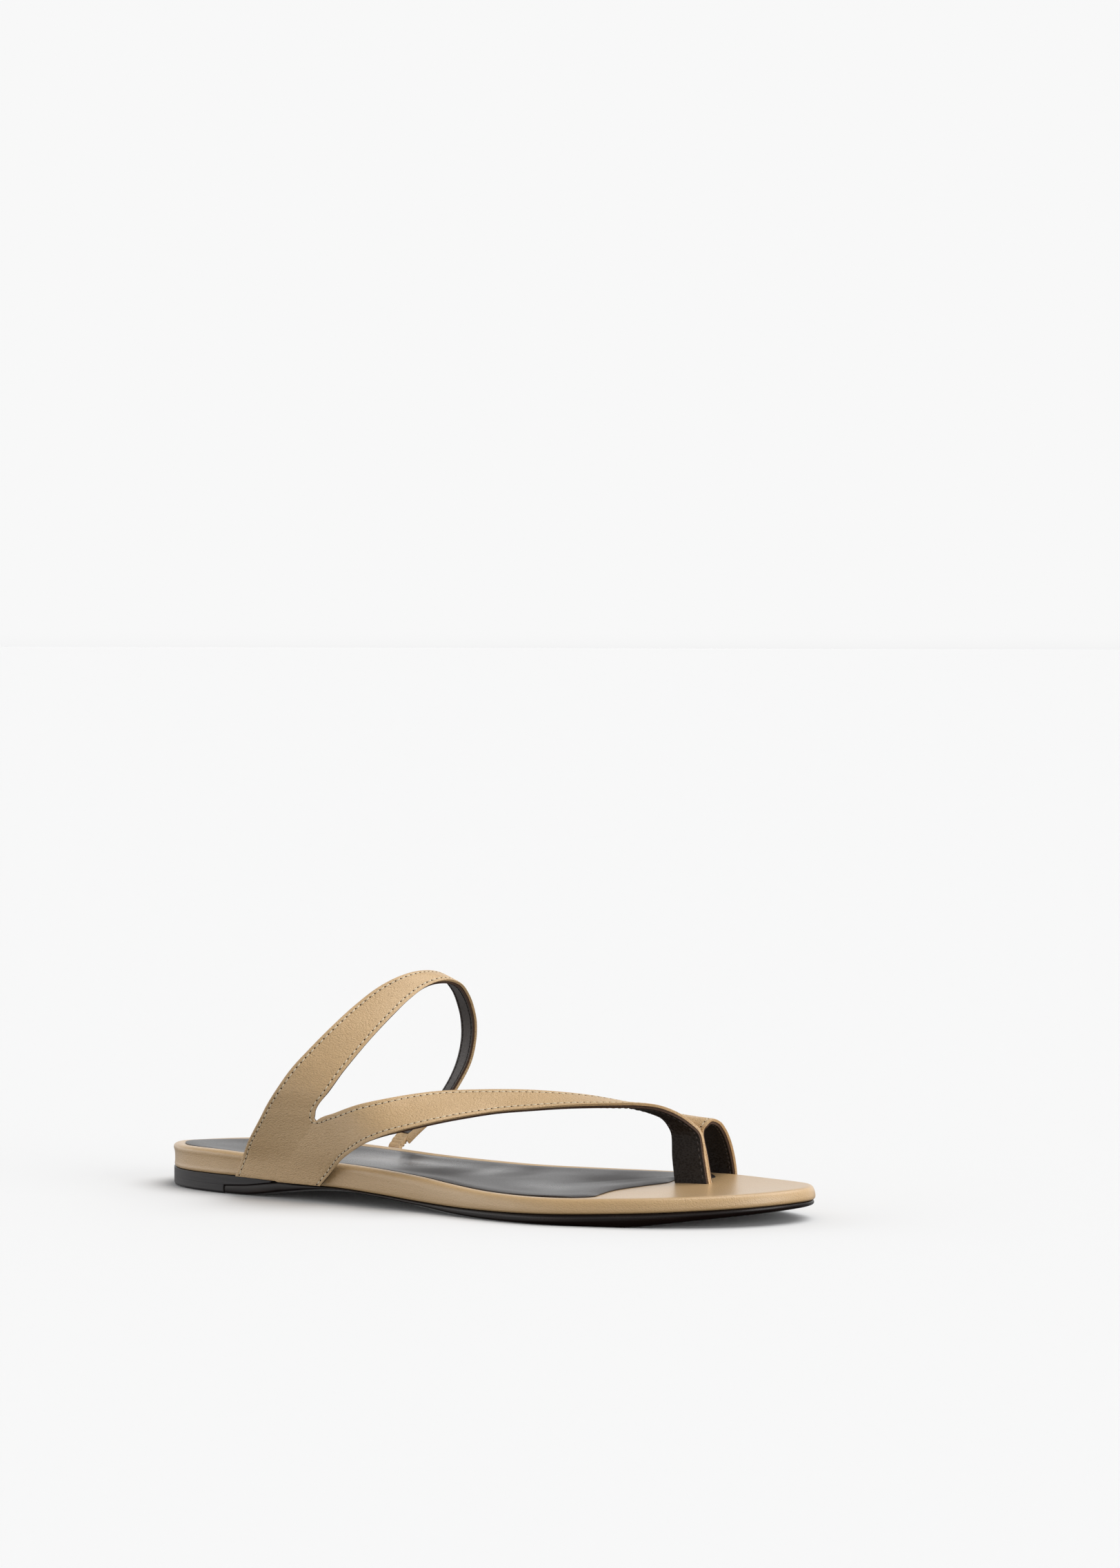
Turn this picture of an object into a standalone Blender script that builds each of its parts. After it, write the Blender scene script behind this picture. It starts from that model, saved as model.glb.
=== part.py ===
"""Flat leather sandal, right shoe, empty on the floor.

The shoe points along +X, its inner (medial) side is +Y and the floor is z = 0.
All sizes are millimetres in a working frame whose x = 0 is the back of the heel;
the finished pieces are scaled to metres and moved so that the origin lies under
the middle of the shoe.
"""
from typing import Callable, NamedTuple

import bmesh
import bpy
import numpy as np

# Driving sizes
MM = 0.001
GAP = 0.3                  # clearance between pieces that touch
SOCK_GAP = 0.45            # clearance under the dished sock
STRAP = 2.2                # outer leather and lining together
THONG = 4.4                # the two straps back to back between the toes
SOCK = 1.1                 # insole leather
TOE_X, TOE_Y = 255.5, 14.5
HEEL_JOINT = 38.0          # rubber top piece behind, outsole in front
WEDGE_END = 60.0           # where the heel lift has tapered out
STATIONS = 30              # sections along a sole layer
SOCK_COLUMNS = 12          # faces across the sock
SOCK_ROWS = 6              # sections of the sock in front of its square part
ACROSS = 4                 # faces across a strap
THONG_ROWS = 4             # faces down the thong
MERGE_ROWS = 5             # sections over which the linings run into the thong's walls
SUB = 2                    # faces along a strap between two table rows
TIP = 0.35                 # the first and last section stand this far inside the tips
RIM_ROUND = 2.2            # how far in the footbed's rim is rounded
DISH_RUN = 17.0            # from there the footbed sinks to its full dish
SOLE_INSET = 0.5           # the dark sole stands in from the footbed
LEAST_EDGE = 0.15          # the bevel under the outsole's edge is at least this deep
CORE = 13.0                # innermost loop of a sole layer


class Breadth(NamedTuple):
    """One row of the sole outline: station, outer edge and inner edge."""

    x: float
    lateral: float
    medial: float


OUTLINE = (
    Breadth(3.0, -12.0, 11.5),
    Breadth(13.0, -22.5, 21.5),
    Breadth(32.0, -28.8, 28.0),
    Breadth(65.0, -31.5, 28.5),
    Breadth(100.0, -33.5, 25.0),
    Breadth(130.0, -36.8, 26.0),
    Breadth(160.0, -42.0, 35.0),
    Breadth(180.0, -42.6, 41.5),
    Breadth(200.0, -37.5, 43.6),
    Breadth(220.0, -29.5, 41.0),
    Breadth(238.5, -16.8, 34.5),
    Breadth(250.5, -2.5, 26.5),
)


class Level(NamedTuple):
    """Heights at one station: footbed underside and rim at both edges, dish, and outsole underside."""

    x: float
    under_lateral: float
    under_medial: float
    rim_lateral: float
    rim_medial: float
    dish: float
    ground: float
    bevel: float
    edge: float


LEVELS = (
    Level(0.0, 6.6, 6.8, 15.2, 13.8, 1.0, 0.0, 1.2, 2.6),
    Level(35.0, 6.8, 7.0, 15.6, 14.4, 2.6, 0.0, 1.2, 2.6),
    Level(48.0, 6.8, 7.0, 15.2, 14.2, 2.8, 0.0, 1.6, 3.2),
    Level(63.0, 6.1, 7.0, 14.8, 13.9, 2.8, 1.6, 3.0, 3.2),
    Level(77.0, 5.8, 7.1, 14.5, 13.4, 2.6, 3.2, 4.5, 1.4),
    Level(90.0, 5.7, 7.2, 14.4, 12.9, 2.4, 3.7, 5.5, 0.6),
    Level(108.0, 4.8, 7.1, 13.6, 12.3, 2.2, 2.7, 5.0, 0.9),
    Level(126.0, 3.7, 6.4, 12.3, 11.8, 2.0, 1.3, 3.4, 1.2),
    Level(140.0, 3.2, 5.6, 10.8, 11.3, 1.7, 0.3, 2.2, 1.9),
    Level(158.0, 3.2, 4.8, 9.5, 10.9, 1.3, 0.0, 1.4, 2.6),
    Level(185.0, 3.8, 4.1, 9.2, 10.5, 0.9, 0.0, 1.2, 2.9),
    Level(208.0, 4.7, 4.3, 9.9, 10.9, 0.5, 0.0, 1.2, 2.7),
    Level(230.0, 5.8, 5.0, 10.7, 11.0, 0.3, 2.5, 1.2, 2.0),
    Level(255.5, 7.2, 7.0, 11.9, 11.9, 0.2, 5.2, 1.2, 1.4),
)


class Lift(NamedTuple):
    """Seam under the heel lift: station and height."""

    x: float
    under: float


LIFT = (Lift(0.0, 3.1), Lift(36.0, 3.1), Lift(49.0, 4.0), Lift(64.5, 6.2), Lift(70.0, 9.0))


class Rung(NamedTuple):
    """One section of a strap: its back (or upper) edge and its front (or lower) edge, outer face."""

    back: tuple[float, float, float]
    front: tuple[float, float, float]


class BaseRung(NamedTuple):
    """One section of the wide outer base: back edge, where the fork divides it, front edge."""

    back: tuple[float, float, float]
    fork: tuple[float, float, float]
    front: tuple[float, float, float]


NOTCH = (1.4, -0.1, -0.3)  # across the round bottom of the fork
BASE = (
    BaseRung((45.5, -32.6, 7.0), (64.0, -33.9, 6.6), (84.3, -35.1, 6.2)),
    BaseRung((48.8, -33.2, 13.2), (69.5, -34.8, 13.0), (90.0, -36.2, 11.5)),
    BaseRung((54.2, -36.6, 20.6), (76.5, -36.8, 21.0), (93.6, -37.6, 14.6)),
    BaseRung((61.9, -39.6, 30.1), (83.9, -38.2, 30.3), (96.6, -38.9, 16.9)),
)
INSTEP = (
    Rung((64.4, -40.3, 33.6), (84.8, -38.3, 33.8)),
    Rung((69.3, -41.0, 39.9), (89.3, -37.3, 40.0)),
    Rung((74.8, -39.0, 48.0), (92.8, -33.0, 47.1)),
    Rung((79.6, -34.6, 54.9), (95.9, -27.3, 53.9)),
    Rung((84.3, -28.7, 62.0), (98.8, -20.5, 60.6)),
    Rung((88.3, -20.0, 69.2), (101.2, -12.4, 67.0)),
    Rung((93.1, -10.7, 75.9), (103.2, -3.5, 72.6)),
    Rung((97.4, -2.0, 79.8), (105.2, 4.5, 76.3)),
    Rung((99.2, 9.0, 81.0), (107.6, 12.5, 77.8)),
    Rung((99.4, 20.5, 79.4), (107.6, 21.5, 75.8)),
    Rung((97.8, 31.0, 74.2), (105.3, 30.5, 71.2)),
    Rung((95.3, 39.2, 67.6), (102.6, 38.0, 65.7)),
    Rung((93.2, 45.0, 60.5), (100.4, 43.3, 59.6)),
    Rung((91.0, 48.6, 52.3), (98.0, 46.6, 52.3)),
    Rung((88.2, 49.6, 43.6), (95.0, 47.9, 44.0)),
    Rung((84.6, 48.5, 34.9), (90.8, 46.8, 35.6)),
    Rung((80.4, 44.6, 26.9), (86.6, 43.5, 27.6)),
    Rung((75.6, 40.6, 22.3), (82.1, 39.6, 22.0)),
    Rung((71.2, 36.0, 17.2), (77.1, 35.2, 16.6)),
)
ELASTIC = (
    Rung((70.8, 35.3, 16.7), (76.7, 34.5, 16.1)),
    Rung((70.6, 32.9, 14.6), (76.3, 32.2, 14.2)),
    Rung((70.1, 31.2, 11.8), (75.5, 30.7, 11.6)),
    Rung((69.6, 30.9, 8.2), (75.2, 30.4, 8.2)),
)
FORWARD = (
    Rung((94.0, -39.3, 33.4), (102.2, -41.0, 20.2)),
    Rung((103.0, -38.5, 36.7), (108.2, -41.9, 23.6)),
    Rung((111.0, -34.0, 38.8), (115.2, -41.2, 26.7)),
    Rung((118.0, -26.2, 40.3), (123.0, -38.6, 29.4)),
    Rung((125.0, -18.4, 41.2), (131.4, -33.2, 31.9)),
    Rung((133.5, -11.8, 41.5), (139.2, -24.8, 33.7)),
    Rung((143.0, -6.5, 41.7), (147.5, -16.2, 35.1)),
    Rung((152.0, -1.0, 41.5), (156.8, -10.2, 36.1)),
    Rung((160.5, 4.5, 40.8), (166.5, -4.6, 37.1)),
    Rung((169.0, 8.5, 39.9), (175.8, -1.0, 37.8)),
    Rung((177.7, 10.2, 38.8), (184.5, 1.4, 38.3)),
    Rung((185.4, 11.6, 37.4), (192.5, 4.2, 38.6)),
    Rung((191.6, 13.1, 35.8), (199.2, 7.8, 37.8)),
    Rung((196.2, 14.6, 33.7), (204.4, 11.4, 35.4)),
    Rung((198.0, 15.8, 31.0), (208.2, 14.4, 32.2)),
)
GROOVE = Rung((198.8, 17.5, 27.4), (211.0, 17.3, 28.2))
THONG_FOOT = Rung((200.3, 17.3, 10.5), (214.5, 17.3, 10.7))
LOOP = (
    Rung((198.0, 18.3, 30.0), (212.0, 18.5, 30.7)),
    Rung((197.3, 20.7, 32.3), (212.8, 21.0, 32.5)),
    Rung((196.4, 25.8, 33.0), (213.2, 26.2, 31.2)),
    Rung((195.3, 31.2, 31.4), (212.6, 31.4, 28.0)),
    Rung((194.0, 37.2, 27.8), (211.5, 36.5, 23.9)),
    Rung((193.0, 42.0, 22.8), (210.3, 41.0, 19.2)),
    Rung((192.3, 44.8, 16.8), (209.4, 44.2, 14.5)),
    Rung((191.6, 45.9, 10.8), (208.8, 46.1, 10.0)),
    Rung((191.2, 46.0, 4.6), (208.4, 46.3, 4.5)),
)


class SockFront(NamedTuple):
    """Front edge of the sock: how far it reaches at a place across the footbed."""

    y: float
    x: float


SOCK_FRONT = (
    SockFront(-40.0, 187.0),
    SockFront(-34.0, 191.5),
    SockFront(-28.5, 194.3),
    SockFront(-21.0, 192.6),
    SockFront(-9.0, 191.4),
    SockFront(5.0, 195.2),
    SockFront(14.0, 198.6),
    SockFront(22.0, 197.8),
    SockFront(30.5, 208.0),
    SockFront(34.5, 206.2),
    SockFront(42.0, 199.0),
)
SOCK_CORNERS = (-36.0, 38.6)  # outer and inner end of the sock's front edge
SOCK_INSET = 4.4
SOCK_SQUARE = 150.0        # behind this station the sock's sections are straight across

BEIGE = (0.55, 0.40, 0.23)
DARK_LEATHER = (0.030, 0.023, 0.020)
SOCK_LEATHER = (0.034, 0.026, 0.024)
RUBBER = (0.022, 0.020, 0.019)

Heights = Callable[[np.ndarray, np.ndarray], np.ndarray]


# Curves
def through(points: np.ndarray, per_span: int, closed: bool = False) -> np.ndarray:
    """Smooth curve through points, with per_span steps between two of them."""
    pts = np.asarray(points, float)
    count = len(pts)
    if closed:
        ahead = np.vstack([pts[-1:], pts, pts[:2]])
    else:
        ahead = np.vstack([2 * pts[:1] - pts[1:2], pts, 2 * pts[-1:] - pts[-2:-1]])
    spans = count if closed else count - 1
    out = []
    for i in range(spans):
        p0, p1, p2, p3 = ahead[i:i + 4]
        gaps = [max(float(np.linalg.norm(b - a)), 1e-6) ** 0.5 for a, b in ((p0, p1), (p1, p2), (p2, p3))]
        m1 = gaps[1] * ((p1 - p0) / gaps[0] - (p2 - p0) / (gaps[0] + gaps[1])) + (p2 - p1)
        m2 = gaps[1] * ((p3 - p2) / gaps[2] - (p3 - p1) / (gaps[1] + gaps[2])) + (p2 - p1)
        m1 = m1 if gaps[0] > 1e-2 else p2 - p1
        m2 = m2 if gaps[2] > 1e-2 else p2 - p1
        for t in np.arange(per_span) / per_span:
            h00 = 2 * t ** 3 - 3 * t ** 2 + 1
            h10 = t ** 3 - 2 * t ** 2 + t
            h01 = 3 * t ** 2 - 2 * t ** 3
            h11 = t ** 3 - t ** 2
            out.append(h00 * p1 + h10 * m1 + h01 * p2 + h11 * m2)
    if not closed:
        out.append(pts[-1])
    return np.array(out)


def outline_curve() -> np.ndarray:
    """The sole outline, heel tip, outer side, toe tip, inner side."""
    outer = [(r.x, r.lateral) for r in OUTLINE]
    inner = [(r.x, r.medial) for r in reversed(OUTLINE)]
    return through(np.array([(0.0, 0.0), *outer, (TOE_X, TOE_Y), *inner]), 24, closed=True)


def inward(curve: np.ndarray) -> np.ndarray:
    """Unit normals of a closed plan curve, pointing into it."""
    run = np.roll(curve, -1, 0) - np.roll(curve, 1, 0)
    run /= np.linalg.norm(run, axis=1)[:, None]
    return np.stack([-run[:, 1], run[:, 0]], 1)


CURVE = outline_curve()
INWARD = inward(CURVE)


def sides(curve: np.ndarray) -> tuple[np.ndarray, np.ndarray]:
    """Splits a closed outline at its ends into the outer and the inner side, both heel to toe."""
    heel, toe = int(curve[:, 0].argmin()), int(curve[:, 0].argmax())
    order = np.roll(curve, -heel, 0)
    cut = (toe - heel) % len(curve)
    lateral = order[:cut + 1]
    medial = np.vstack([order[cut:], order[:1]])[::-1]
    return lateral, medial


LATERAL, MEDIAL = sides(CURVE)


def edge_y(x: np.ndarray, side: np.ndarray) -> np.ndarray:
    """Place of one side of the outline at stations x."""
    return np.interp(x, side[:, 0], side[:, 1])


def level(name: str, x: np.ndarray) -> np.ndarray:
    """One column of LEVELS at stations x, as a smooth curve."""
    rows = through(np.array([(r.x, getattr(r, name)) for r in LEVELS]), 8)
    return np.interp(x, rows[:, 0], rows[:, 1])


def across(lateral: str, medial: str, x: np.ndarray, y: np.ndarray) -> np.ndarray:
    """Height between two columns of LEVELS by the place across the sole."""
    low, high = edge_y(x, LATERAL), edge_y(x, MEDIAL)
    part = np.clip((y - low) / np.maximum(high - low, 1.0), 0.0, 1.0)
    return level(lateral, x) * (1.0 - part) + level(medial, x) * part


def from_edge(x: np.ndarray, y: np.ndarray) -> np.ndarray:
    """Distance of plan points to the outline."""
    return np.array([np.hypot(CURVE[:, 0] - a, CURVE[:, 1] - b).min() for a, b in zip(x, y)])


# Heights of the sole layers
def footbed_under(x: np.ndarray, y: np.ndarray) -> np.ndarray:
    """Underside of the footbed."""
    return across("under_lateral", "under_medial", x, y)


def rim(x: np.ndarray, y: np.ndarray) -> np.ndarray:
    """Height of the footbed's rim, carried across."""
    return across("rim_lateral", "rim_medial", x, y)


def footbed_top(x: np.ndarray, y: np.ndarray) -> np.ndarray:
    """Dished top of the footbed inside its rounded rim."""
    inside = np.clip((from_edge(x, y) - RIM_ROUND) / DISH_RUN, 0.0, 1.0)
    return rim(x, y) - level("dish", x) * inside * (2.0 - inside)


def lift_under(x: np.ndarray) -> np.ndarray:
    """Seam under the heel lift, level at the heel and rising to its front end."""
    return np.interp(x, [r.x for r in LIFT], [r.under for r in LIFT])


def outsole_top(x: np.ndarray, y: np.ndarray) -> np.ndarray:
    """Top of the outsole: under the lift behind, under the footbed in front."""
    return np.minimum(lift_under(x), footbed_under(x, y)) - GAP


def ground(x: np.ndarray, y: np.ndarray) -> np.ndarray:
    """Underside of the outsole, lifted with the arch on the inner side."""
    arch = np.maximum(footbed_under(x, y) - level("under_lateral", x), 0.0)
    clear = np.maximum(level("ground", x), 0.0)
    return clear + arch * np.minimum(clear, 1.0)


# Sole layers
def ring(inset: Callable[[np.ndarray], np.ndarray], heights: Heights, start: float, stop: float) -> np.ndarray:
    """Closed loop of points: the outline set in, from one station to another, at the given heights."""
    curve = CURVE + INWARD * inset(CURVE[:, 0])[:, None]
    outer, inner = sides(curve)
    low, high = outer[0, 0] + TIP, outer[-1, 0] - TIP
    turn = np.linspace(0.0, np.pi, STATIONS + 1)
    clipped_low, clipped_high = start > 0.0, stop < TOE_X
    if clipped_low:
        turn = np.linspace(np.pi / 2, np.pi, STATIONS + 1)
    elif clipped_high:
        turn = np.linspace(0.0, np.pi / 2, STATIONS + 1)
    run = -np.cos(turn)
    run = (run - run[0]) / (run[-1] - run[0])
    first, last = (start if clipped_low else low), (stop if clipped_high else high)
    x = first + (last - first) * run
    lateral, medial = np.interp(x, *outer.T), np.interp(x, *inner.T)
    loop_x = np.concatenate([x, x[::-1]])
    loop_y = np.concatenate([lateral, medial[::-1]])
    return np.stack([loop_x, loop_y, heights(loop_x, loop_y)], 1)


def new_object(name: str, build: bmesh.types.BMesh, material: bpy.types.Material) -> bpy.types.Object:
    """Turns a bmesh in millimetres into a smooth shaded object in metres."""
    bmesh.ops.recalc_face_normals(build, faces=build.faces)
    bmesh.ops.scale(build, vec=(MM, MM, MM), verts=build.verts)
    mesh = bpy.data.meshes.new(name)
    build.to_mesh(mesh)
    build.free()
    mesh.shade_smooth()
    mesh.set_sharp_from_angle(angle=np.radians(40.0))
    obj = bpy.data.objects.new(name, mesh)
    bpy.context.scene.collection.objects.link(obj)
    mesh.materials.append(material)
    return obj


def stack(name: str, rings: list[np.ndarray], material: bpy.types.Material) -> bpy.types.Object:
    """Closed solid through loops listed from the middle of the underside to the middle of the top."""
    build = bmesh.new()
    loops = [[build.verts.new(p) for p in loop] for loop in rings]
    for low, high in zip(loops, loops[1:]):
        for i in range(len(low)):
            j = (i + 1) % len(low)
            build.faces.new((low[i], low[j], high[j], high[i]))
    for loop in (loops[0], loops[-1]):
        last = len(loop) - 1
        for i in range(last // 2):
            build.faces.new((loop[i], loop[i + 1], loop[last - i - 1], loop[last - i]))
    return new_object(name, build, material)


def fixed(inset: float) -> Callable[[np.ndarray], np.ndarray]:
    """The same inset all round."""
    return lambda x: np.full_like(x, inset)


class Turn(NamedTuple):
    """One loop of a layer: how far in from the outline, and its height over a surface."""

    inset: float
    heights: Heights
    over: float


def turned(turns: tuple[Turn, ...], start: float, stop: float) -> list[np.ndarray]:
    """The loops of a layer between two stations."""
    def raised(turn: Turn) -> Heights:
        return lambda x, y: turn.heights(x, y) + turn.over

    return [ring(fixed(turn.inset), raised(turn), start, stop) for turn in turns]


def make_footbed(material: bpy.types.Material) -> bpy.types.Object:
    """Wrapped midsole: near upright wall, rounded rim, dished top."""
    wall = (
        Turn(CORE, footbed_under, 0.0),
        Turn(0.8, footbed_under, 0.0),
        Turn(0.1, footbed_under, 0.9),
        Turn(0.0, rim, -2.6),
        Turn(0.7, rim, -1.0),
        Turn(RIM_ROUND, rim, 0.0),
        Turn(6.0, footbed_top, 0.0),
        Turn(12.0, footbed_top, 0.0),
        Turn(19.0, footbed_top, 0.0),
    )
    return stack("footbed", turned(wall, 0.0, TOE_X), material)


def make_outsole(material: bpy.types.Material) -> bpy.types.Object:
    """Leather outsole in front of the heel joint, its edge bevelled under the waist."""
    def low_edge(x: np.ndarray, y: np.ndarray) -> np.ndarray:
        return np.maximum(outsole_top(x, y) - level("edge", x), ground(x, y) + LEAST_EDGE)

    start = HEEL_JOINT + GAP
    rings = [
        ring(fixed(CORE), ground, start, TOE_X),
        ring(lambda x: SOLE_INSET + level("bevel", x), ground, start, TOE_X),
        ring(fixed(SOLE_INSET + LEAST_EDGE), low_edge, start, TOE_X),
        ring(fixed(SOLE_INSET), outsole_top, start, TOE_X),
        ring(fixed(CORE), outsole_top, start, TOE_X),
    ]
    return stack("outsole", rings, material)


def make_heel(rubber: bpy.types.Material, leather: bpy.types.Material) -> None:
    """Rubber top piece on the floor behind the joint, and the tapering lift over it."""
    def floor(x: np.ndarray, y: np.ndarray) -> np.ndarray:
        return np.zeros_like(x)

    def seam(x: np.ndarray, y: np.ndarray) -> np.ndarray:
        return lift_under(x)

    top_piece = (
        Turn(CORE, floor, 0.0),
        Turn(SOLE_INSET + 0.5, floor, 0.0),
        Turn(SOLE_INSET, floor, 0.5),
        Turn(SOLE_INSET, seam, -GAP),
        Turn(CORE, seam, -GAP),
    )
    stack("heel_top_piece", turned(top_piece, 0.0, HEEL_JOINT), rubber)
    lift = (
        Turn(CORE, seam, 0.0),
        Turn(SOLE_INSET, seam, 0.0),
        Turn(SOLE_INSET, footbed_under, -GAP),
        Turn(CORE, footbed_under, -GAP),
    )
    stack("heel_wedge", turned(lift, 0.0, WEDGE_END), leather)


def make_sock(material: bpy.types.Material) -> bpy.types.Object:
    """Insole leather on the dished footbed, with its shaped front edge."""
    curve = CURVE + INWARD * SOCK_INSET
    outer, inner = sides(curve)
    front = through(np.array(SOCK_FRONT), 6)
    turn = np.linspace(0.0, np.pi / 2, STATIONS // 2 + 1)
    square = (outer[0, 0] + TIP) + (SOCK_SQUARE - outer[0, 0] - TIP) * (1.0 - np.cos(turn))
    ahead = np.linspace(0.0, 1.0, SOCK_ROWS + 1)[1:]
    rows = []
    for x in square:
        y = np.linspace(np.interp(x, *outer.T), np.interp(x, *inner.T), SOCK_COLUMNS + 1)
        rows.append(np.stack([np.full_like(y, x), y], 1))
    part = np.linspace(0.0, 1.0, SOCK_COLUMNS + 1)
    end_y = SOCK_CORNERS[0] + (SOCK_CORNERS[1] - SOCK_CORNERS[0]) * part
    end_x = np.interp(end_y, front[:, 0], front[:, 1])
    for t in ahead:
        x = SOCK_SQUARE + (end_x - SOCK_SQUARE) * t
        low, high = np.interp(x, *outer.T), np.interp(x, *inner.T)
        y = low + (high - low) * part
        y = y + (end_y - y) * t ** 3
        rows.append(np.stack([x, y], 1))
    build = bmesh.new()
    faces = []
    for lift in (SOCK_GAP, SOCK_GAP + SOCK):
        grid = []
        for row in rows:
            z = footbed_top(row[:, 0], row[:, 1]) + lift
            grid.append([build.verts.new((a, b, c)) for (a, b), c in zip(row, z)])
        faces.append(grid)
    close_slab(build, faces[0], faces[1])
    return new_object("sock", build, material)


# Straps
def sheet(build: bmesh.types.BMesh, rows: list[list[bmesh.types.BMVert]]) -> None:
    """Faces between rows of vertices."""
    for low, high in zip(rows, rows[1:]):
        for i in range(len(low) - 1):
            build.faces.new((low[i], low[i + 1], high[i + 1], high[i]))


def close_slab(build: bmesh.types.BMesh, under: list, over: list) -> None:
    """Two like sheets and the faces round their edge."""
    sheet(build, under)
    sheet(build, over)
    sheet(build, [under[0], over[0]])
    sheet(build, [under[-1], over[-1]])
    sheet(build, [[r[0] for r in under], [r[0] for r in over]])
    sheet(build, [[r[-1] for r in under], [r[-1] for r in over]])


def rungs_to_rows(rungs: list[Rung]) -> np.ndarray:
    """Grid of points: smooth along the strap, straight across it."""
    back = through(np.array([r.back for r in rungs]), SUB)
    front = through(np.array([r.front for r in rungs]), SUB)
    part = np.linspace(0.0, 1.0, ACROSS + 1)[None, :, None]
    return back[:, None, :] * (1.0 - part) + front[:, None, :] * part


def outward(rows: np.ndarray) -> np.ndarray:
    """Unit normals of a strap grid, to the worn side's outside."""
    along = np.gradient(rows, axis=0)
    over = np.gradient(rows, axis=1)
    normal = np.cross(over, along)
    return normal / np.linalg.norm(normal, axis=2)[:, :, None]


def add_rows(build: bmesh.types.BMesh, rows: np.ndarray) -> list[list[bmesh.types.BMVert]]:
    """Vertices of a grid."""
    return [[build.verts.new(p) for p in row] for row in rows]


def moved(point: tuple[float, float, float], step: tuple[float, float, float]) -> tuple[float, float, float]:
    """A point moved by a step."""
    return tuple(a + b for a, b in zip(point, step))


def make_upper(material: bpy.types.Material) -> bpy.types.Object:
    """All straps as one closed wall: base, fork, instep strap, forward strap, thong and toe loop."""
    base_rows = SUB * (len(BASE) - 1) + 1
    instep = rungs_to_rows([Rung(r.back, r.fork) for r in BASE] + list(INSTEP))
    forward = rungs_to_rows([Rung(moved(r.fork, NOTCH), r.front) for r in BASE] + list(FORWARD) + [GROOVE])
    loop = rungs_to_rows([GROOVE, *LOOP])
    instep_in = instep - STRAP * outward(instep)
    forward_in = forward - STRAP * outward(forward)
    loop_in = loop - STRAP * outward(loop)

    groove = forward[-1]
    foot = rungs_to_rows([THONG_FOOT, THONG_FOOT])[0]
    drop = np.linspace(0.0, 1.0, THONG_ROWS + 1)[:, None, None]
    half = np.array([0.0, THONG / 2, 0.0])
    middle = groove[None] * (1.0 - drop) + foot[None] * drop
    lateral_wall = middle - half
    medial_wall = middle + half
    fade = np.linspace(1.0, 0.0, MERGE_ROWS)[:, None, None] ** 2
    forward_in[-MERGE_ROWS:] += (lateral_wall[0] - forward_in[-1])[None] * (1.0 - fade)
    loop_in[:MERGE_ROWS] += (medial_wall[0] - loop_in[0])[None] * (1.0 - fade[::-1])

    build = bmesh.new()
    outs = {"instep": add_rows(build, instep), "forward": add_rows(build, forward)}
    ins = {"instep": add_rows(build, instep_in), "forward": add_rows(build, forward_in)}
    outs["loop"] = [outs["forward"][-1], *add_rows(build, loop[1:])]
    lateral = [ins["forward"][-1], *add_rows(build, lateral_wall[1:])]
    medial = add_rows(build, medial_wall)
    ins["loop"] = [medial[0], *add_rows(build, loop_in[1:])]

    for grid in (outs, ins):
        for rows in grid.values():
            sheet(build, rows)
        notch = [[a[-1], b[0]] for a, b in zip(grid["instep"][:base_rows], grid["forward"][:base_rows])]
        sheet(build, notch)
    sheet(build, lateral)
    sheet(build, medial)
    sheet(build, [lateral[-1], medial[-1]])

    def side_faces(part: str, column: int, first: int = 0) -> None:
        out_edge = [r[column] for r in outs[part][first:]]
        in_edge = [r[column] for r in ins[part][first:]]
        sheet(build, [out_edge, in_edge])

    side_faces("instep", 0)
    side_faces("instep", -1, base_rows - 1)
    side_faces("forward", 0, base_rows - 1)
    side_faces("forward", -1)
    side_faces("loop", 0)
    side_faces("loop", -1)
    crotch = base_rows - 1
    sheet(build, [[outs["instep"][crotch][-1], outs["forward"][crotch][0]],
                  [ins["instep"][crotch][-1], ins["forward"][crotch][0]]])
    sheet(build, [outs["instep"][0] + outs["forward"][0], ins["instep"][0] + ins["forward"][0]])
    sheet(build, [outs["instep"][-1], ins["instep"][-1]])
    sheet(build, [outs["loop"][-1], ins["loop"][-1]])
    for column in (0, -1):
        sheet(build, [[r[column] for r in lateral], [r[column] for r in medial]])
        build.faces.new((outs["loop"][0][column], lateral[0][column], medial[0][column]))
    return new_object("upper", build, material)


def make_elastic(material: bpy.types.Material) -> bpy.types.Object:
    """Short gathered tab from the inner end of the instep strap to the sole."""
    outer = rungs_to_rows(list(ELASTIC))
    inner = outer - STRAP * outward(outer)
    build = bmesh.new()
    close_slab(build, add_rows(build, inner), add_rows(build, outer))
    return new_object("elastic_tab", build, material)


# Finishes and assembly
def finish(name: str, colour: tuple[float, float, float], roughness: float) -> bpy.types.Material:
    """A plain Principled finish."""
    material = bpy.data.materials.new(name)
    material.use_nodes = True
    shader = material.node_tree.nodes["Principled BSDF"]
    shader.inputs["Base Color"].default_value = (*colour, 1.0)
    shader.inputs["Roughness"].default_value = roughness
    shader.inputs["Metallic"].default_value = 0.0
    return material


def settle(objects: list[bpy.types.Object]) -> None:
    """Moves every mesh so that the origin lies on the floor under the middle of the shoe."""
    corners = np.array([v.co for obj in objects for v in obj.data.vertices])
    low, high = corners.min(0), corners.max(0)
    shift = np.array([(low[0] + high[0]) / 2, (low[1] + high[1]) / 2, low[2]])
    for obj in objects:
        for vertex in obj.data.vertices:
            vertex.co = vertex.co - type(vertex.co)(shift)


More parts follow.
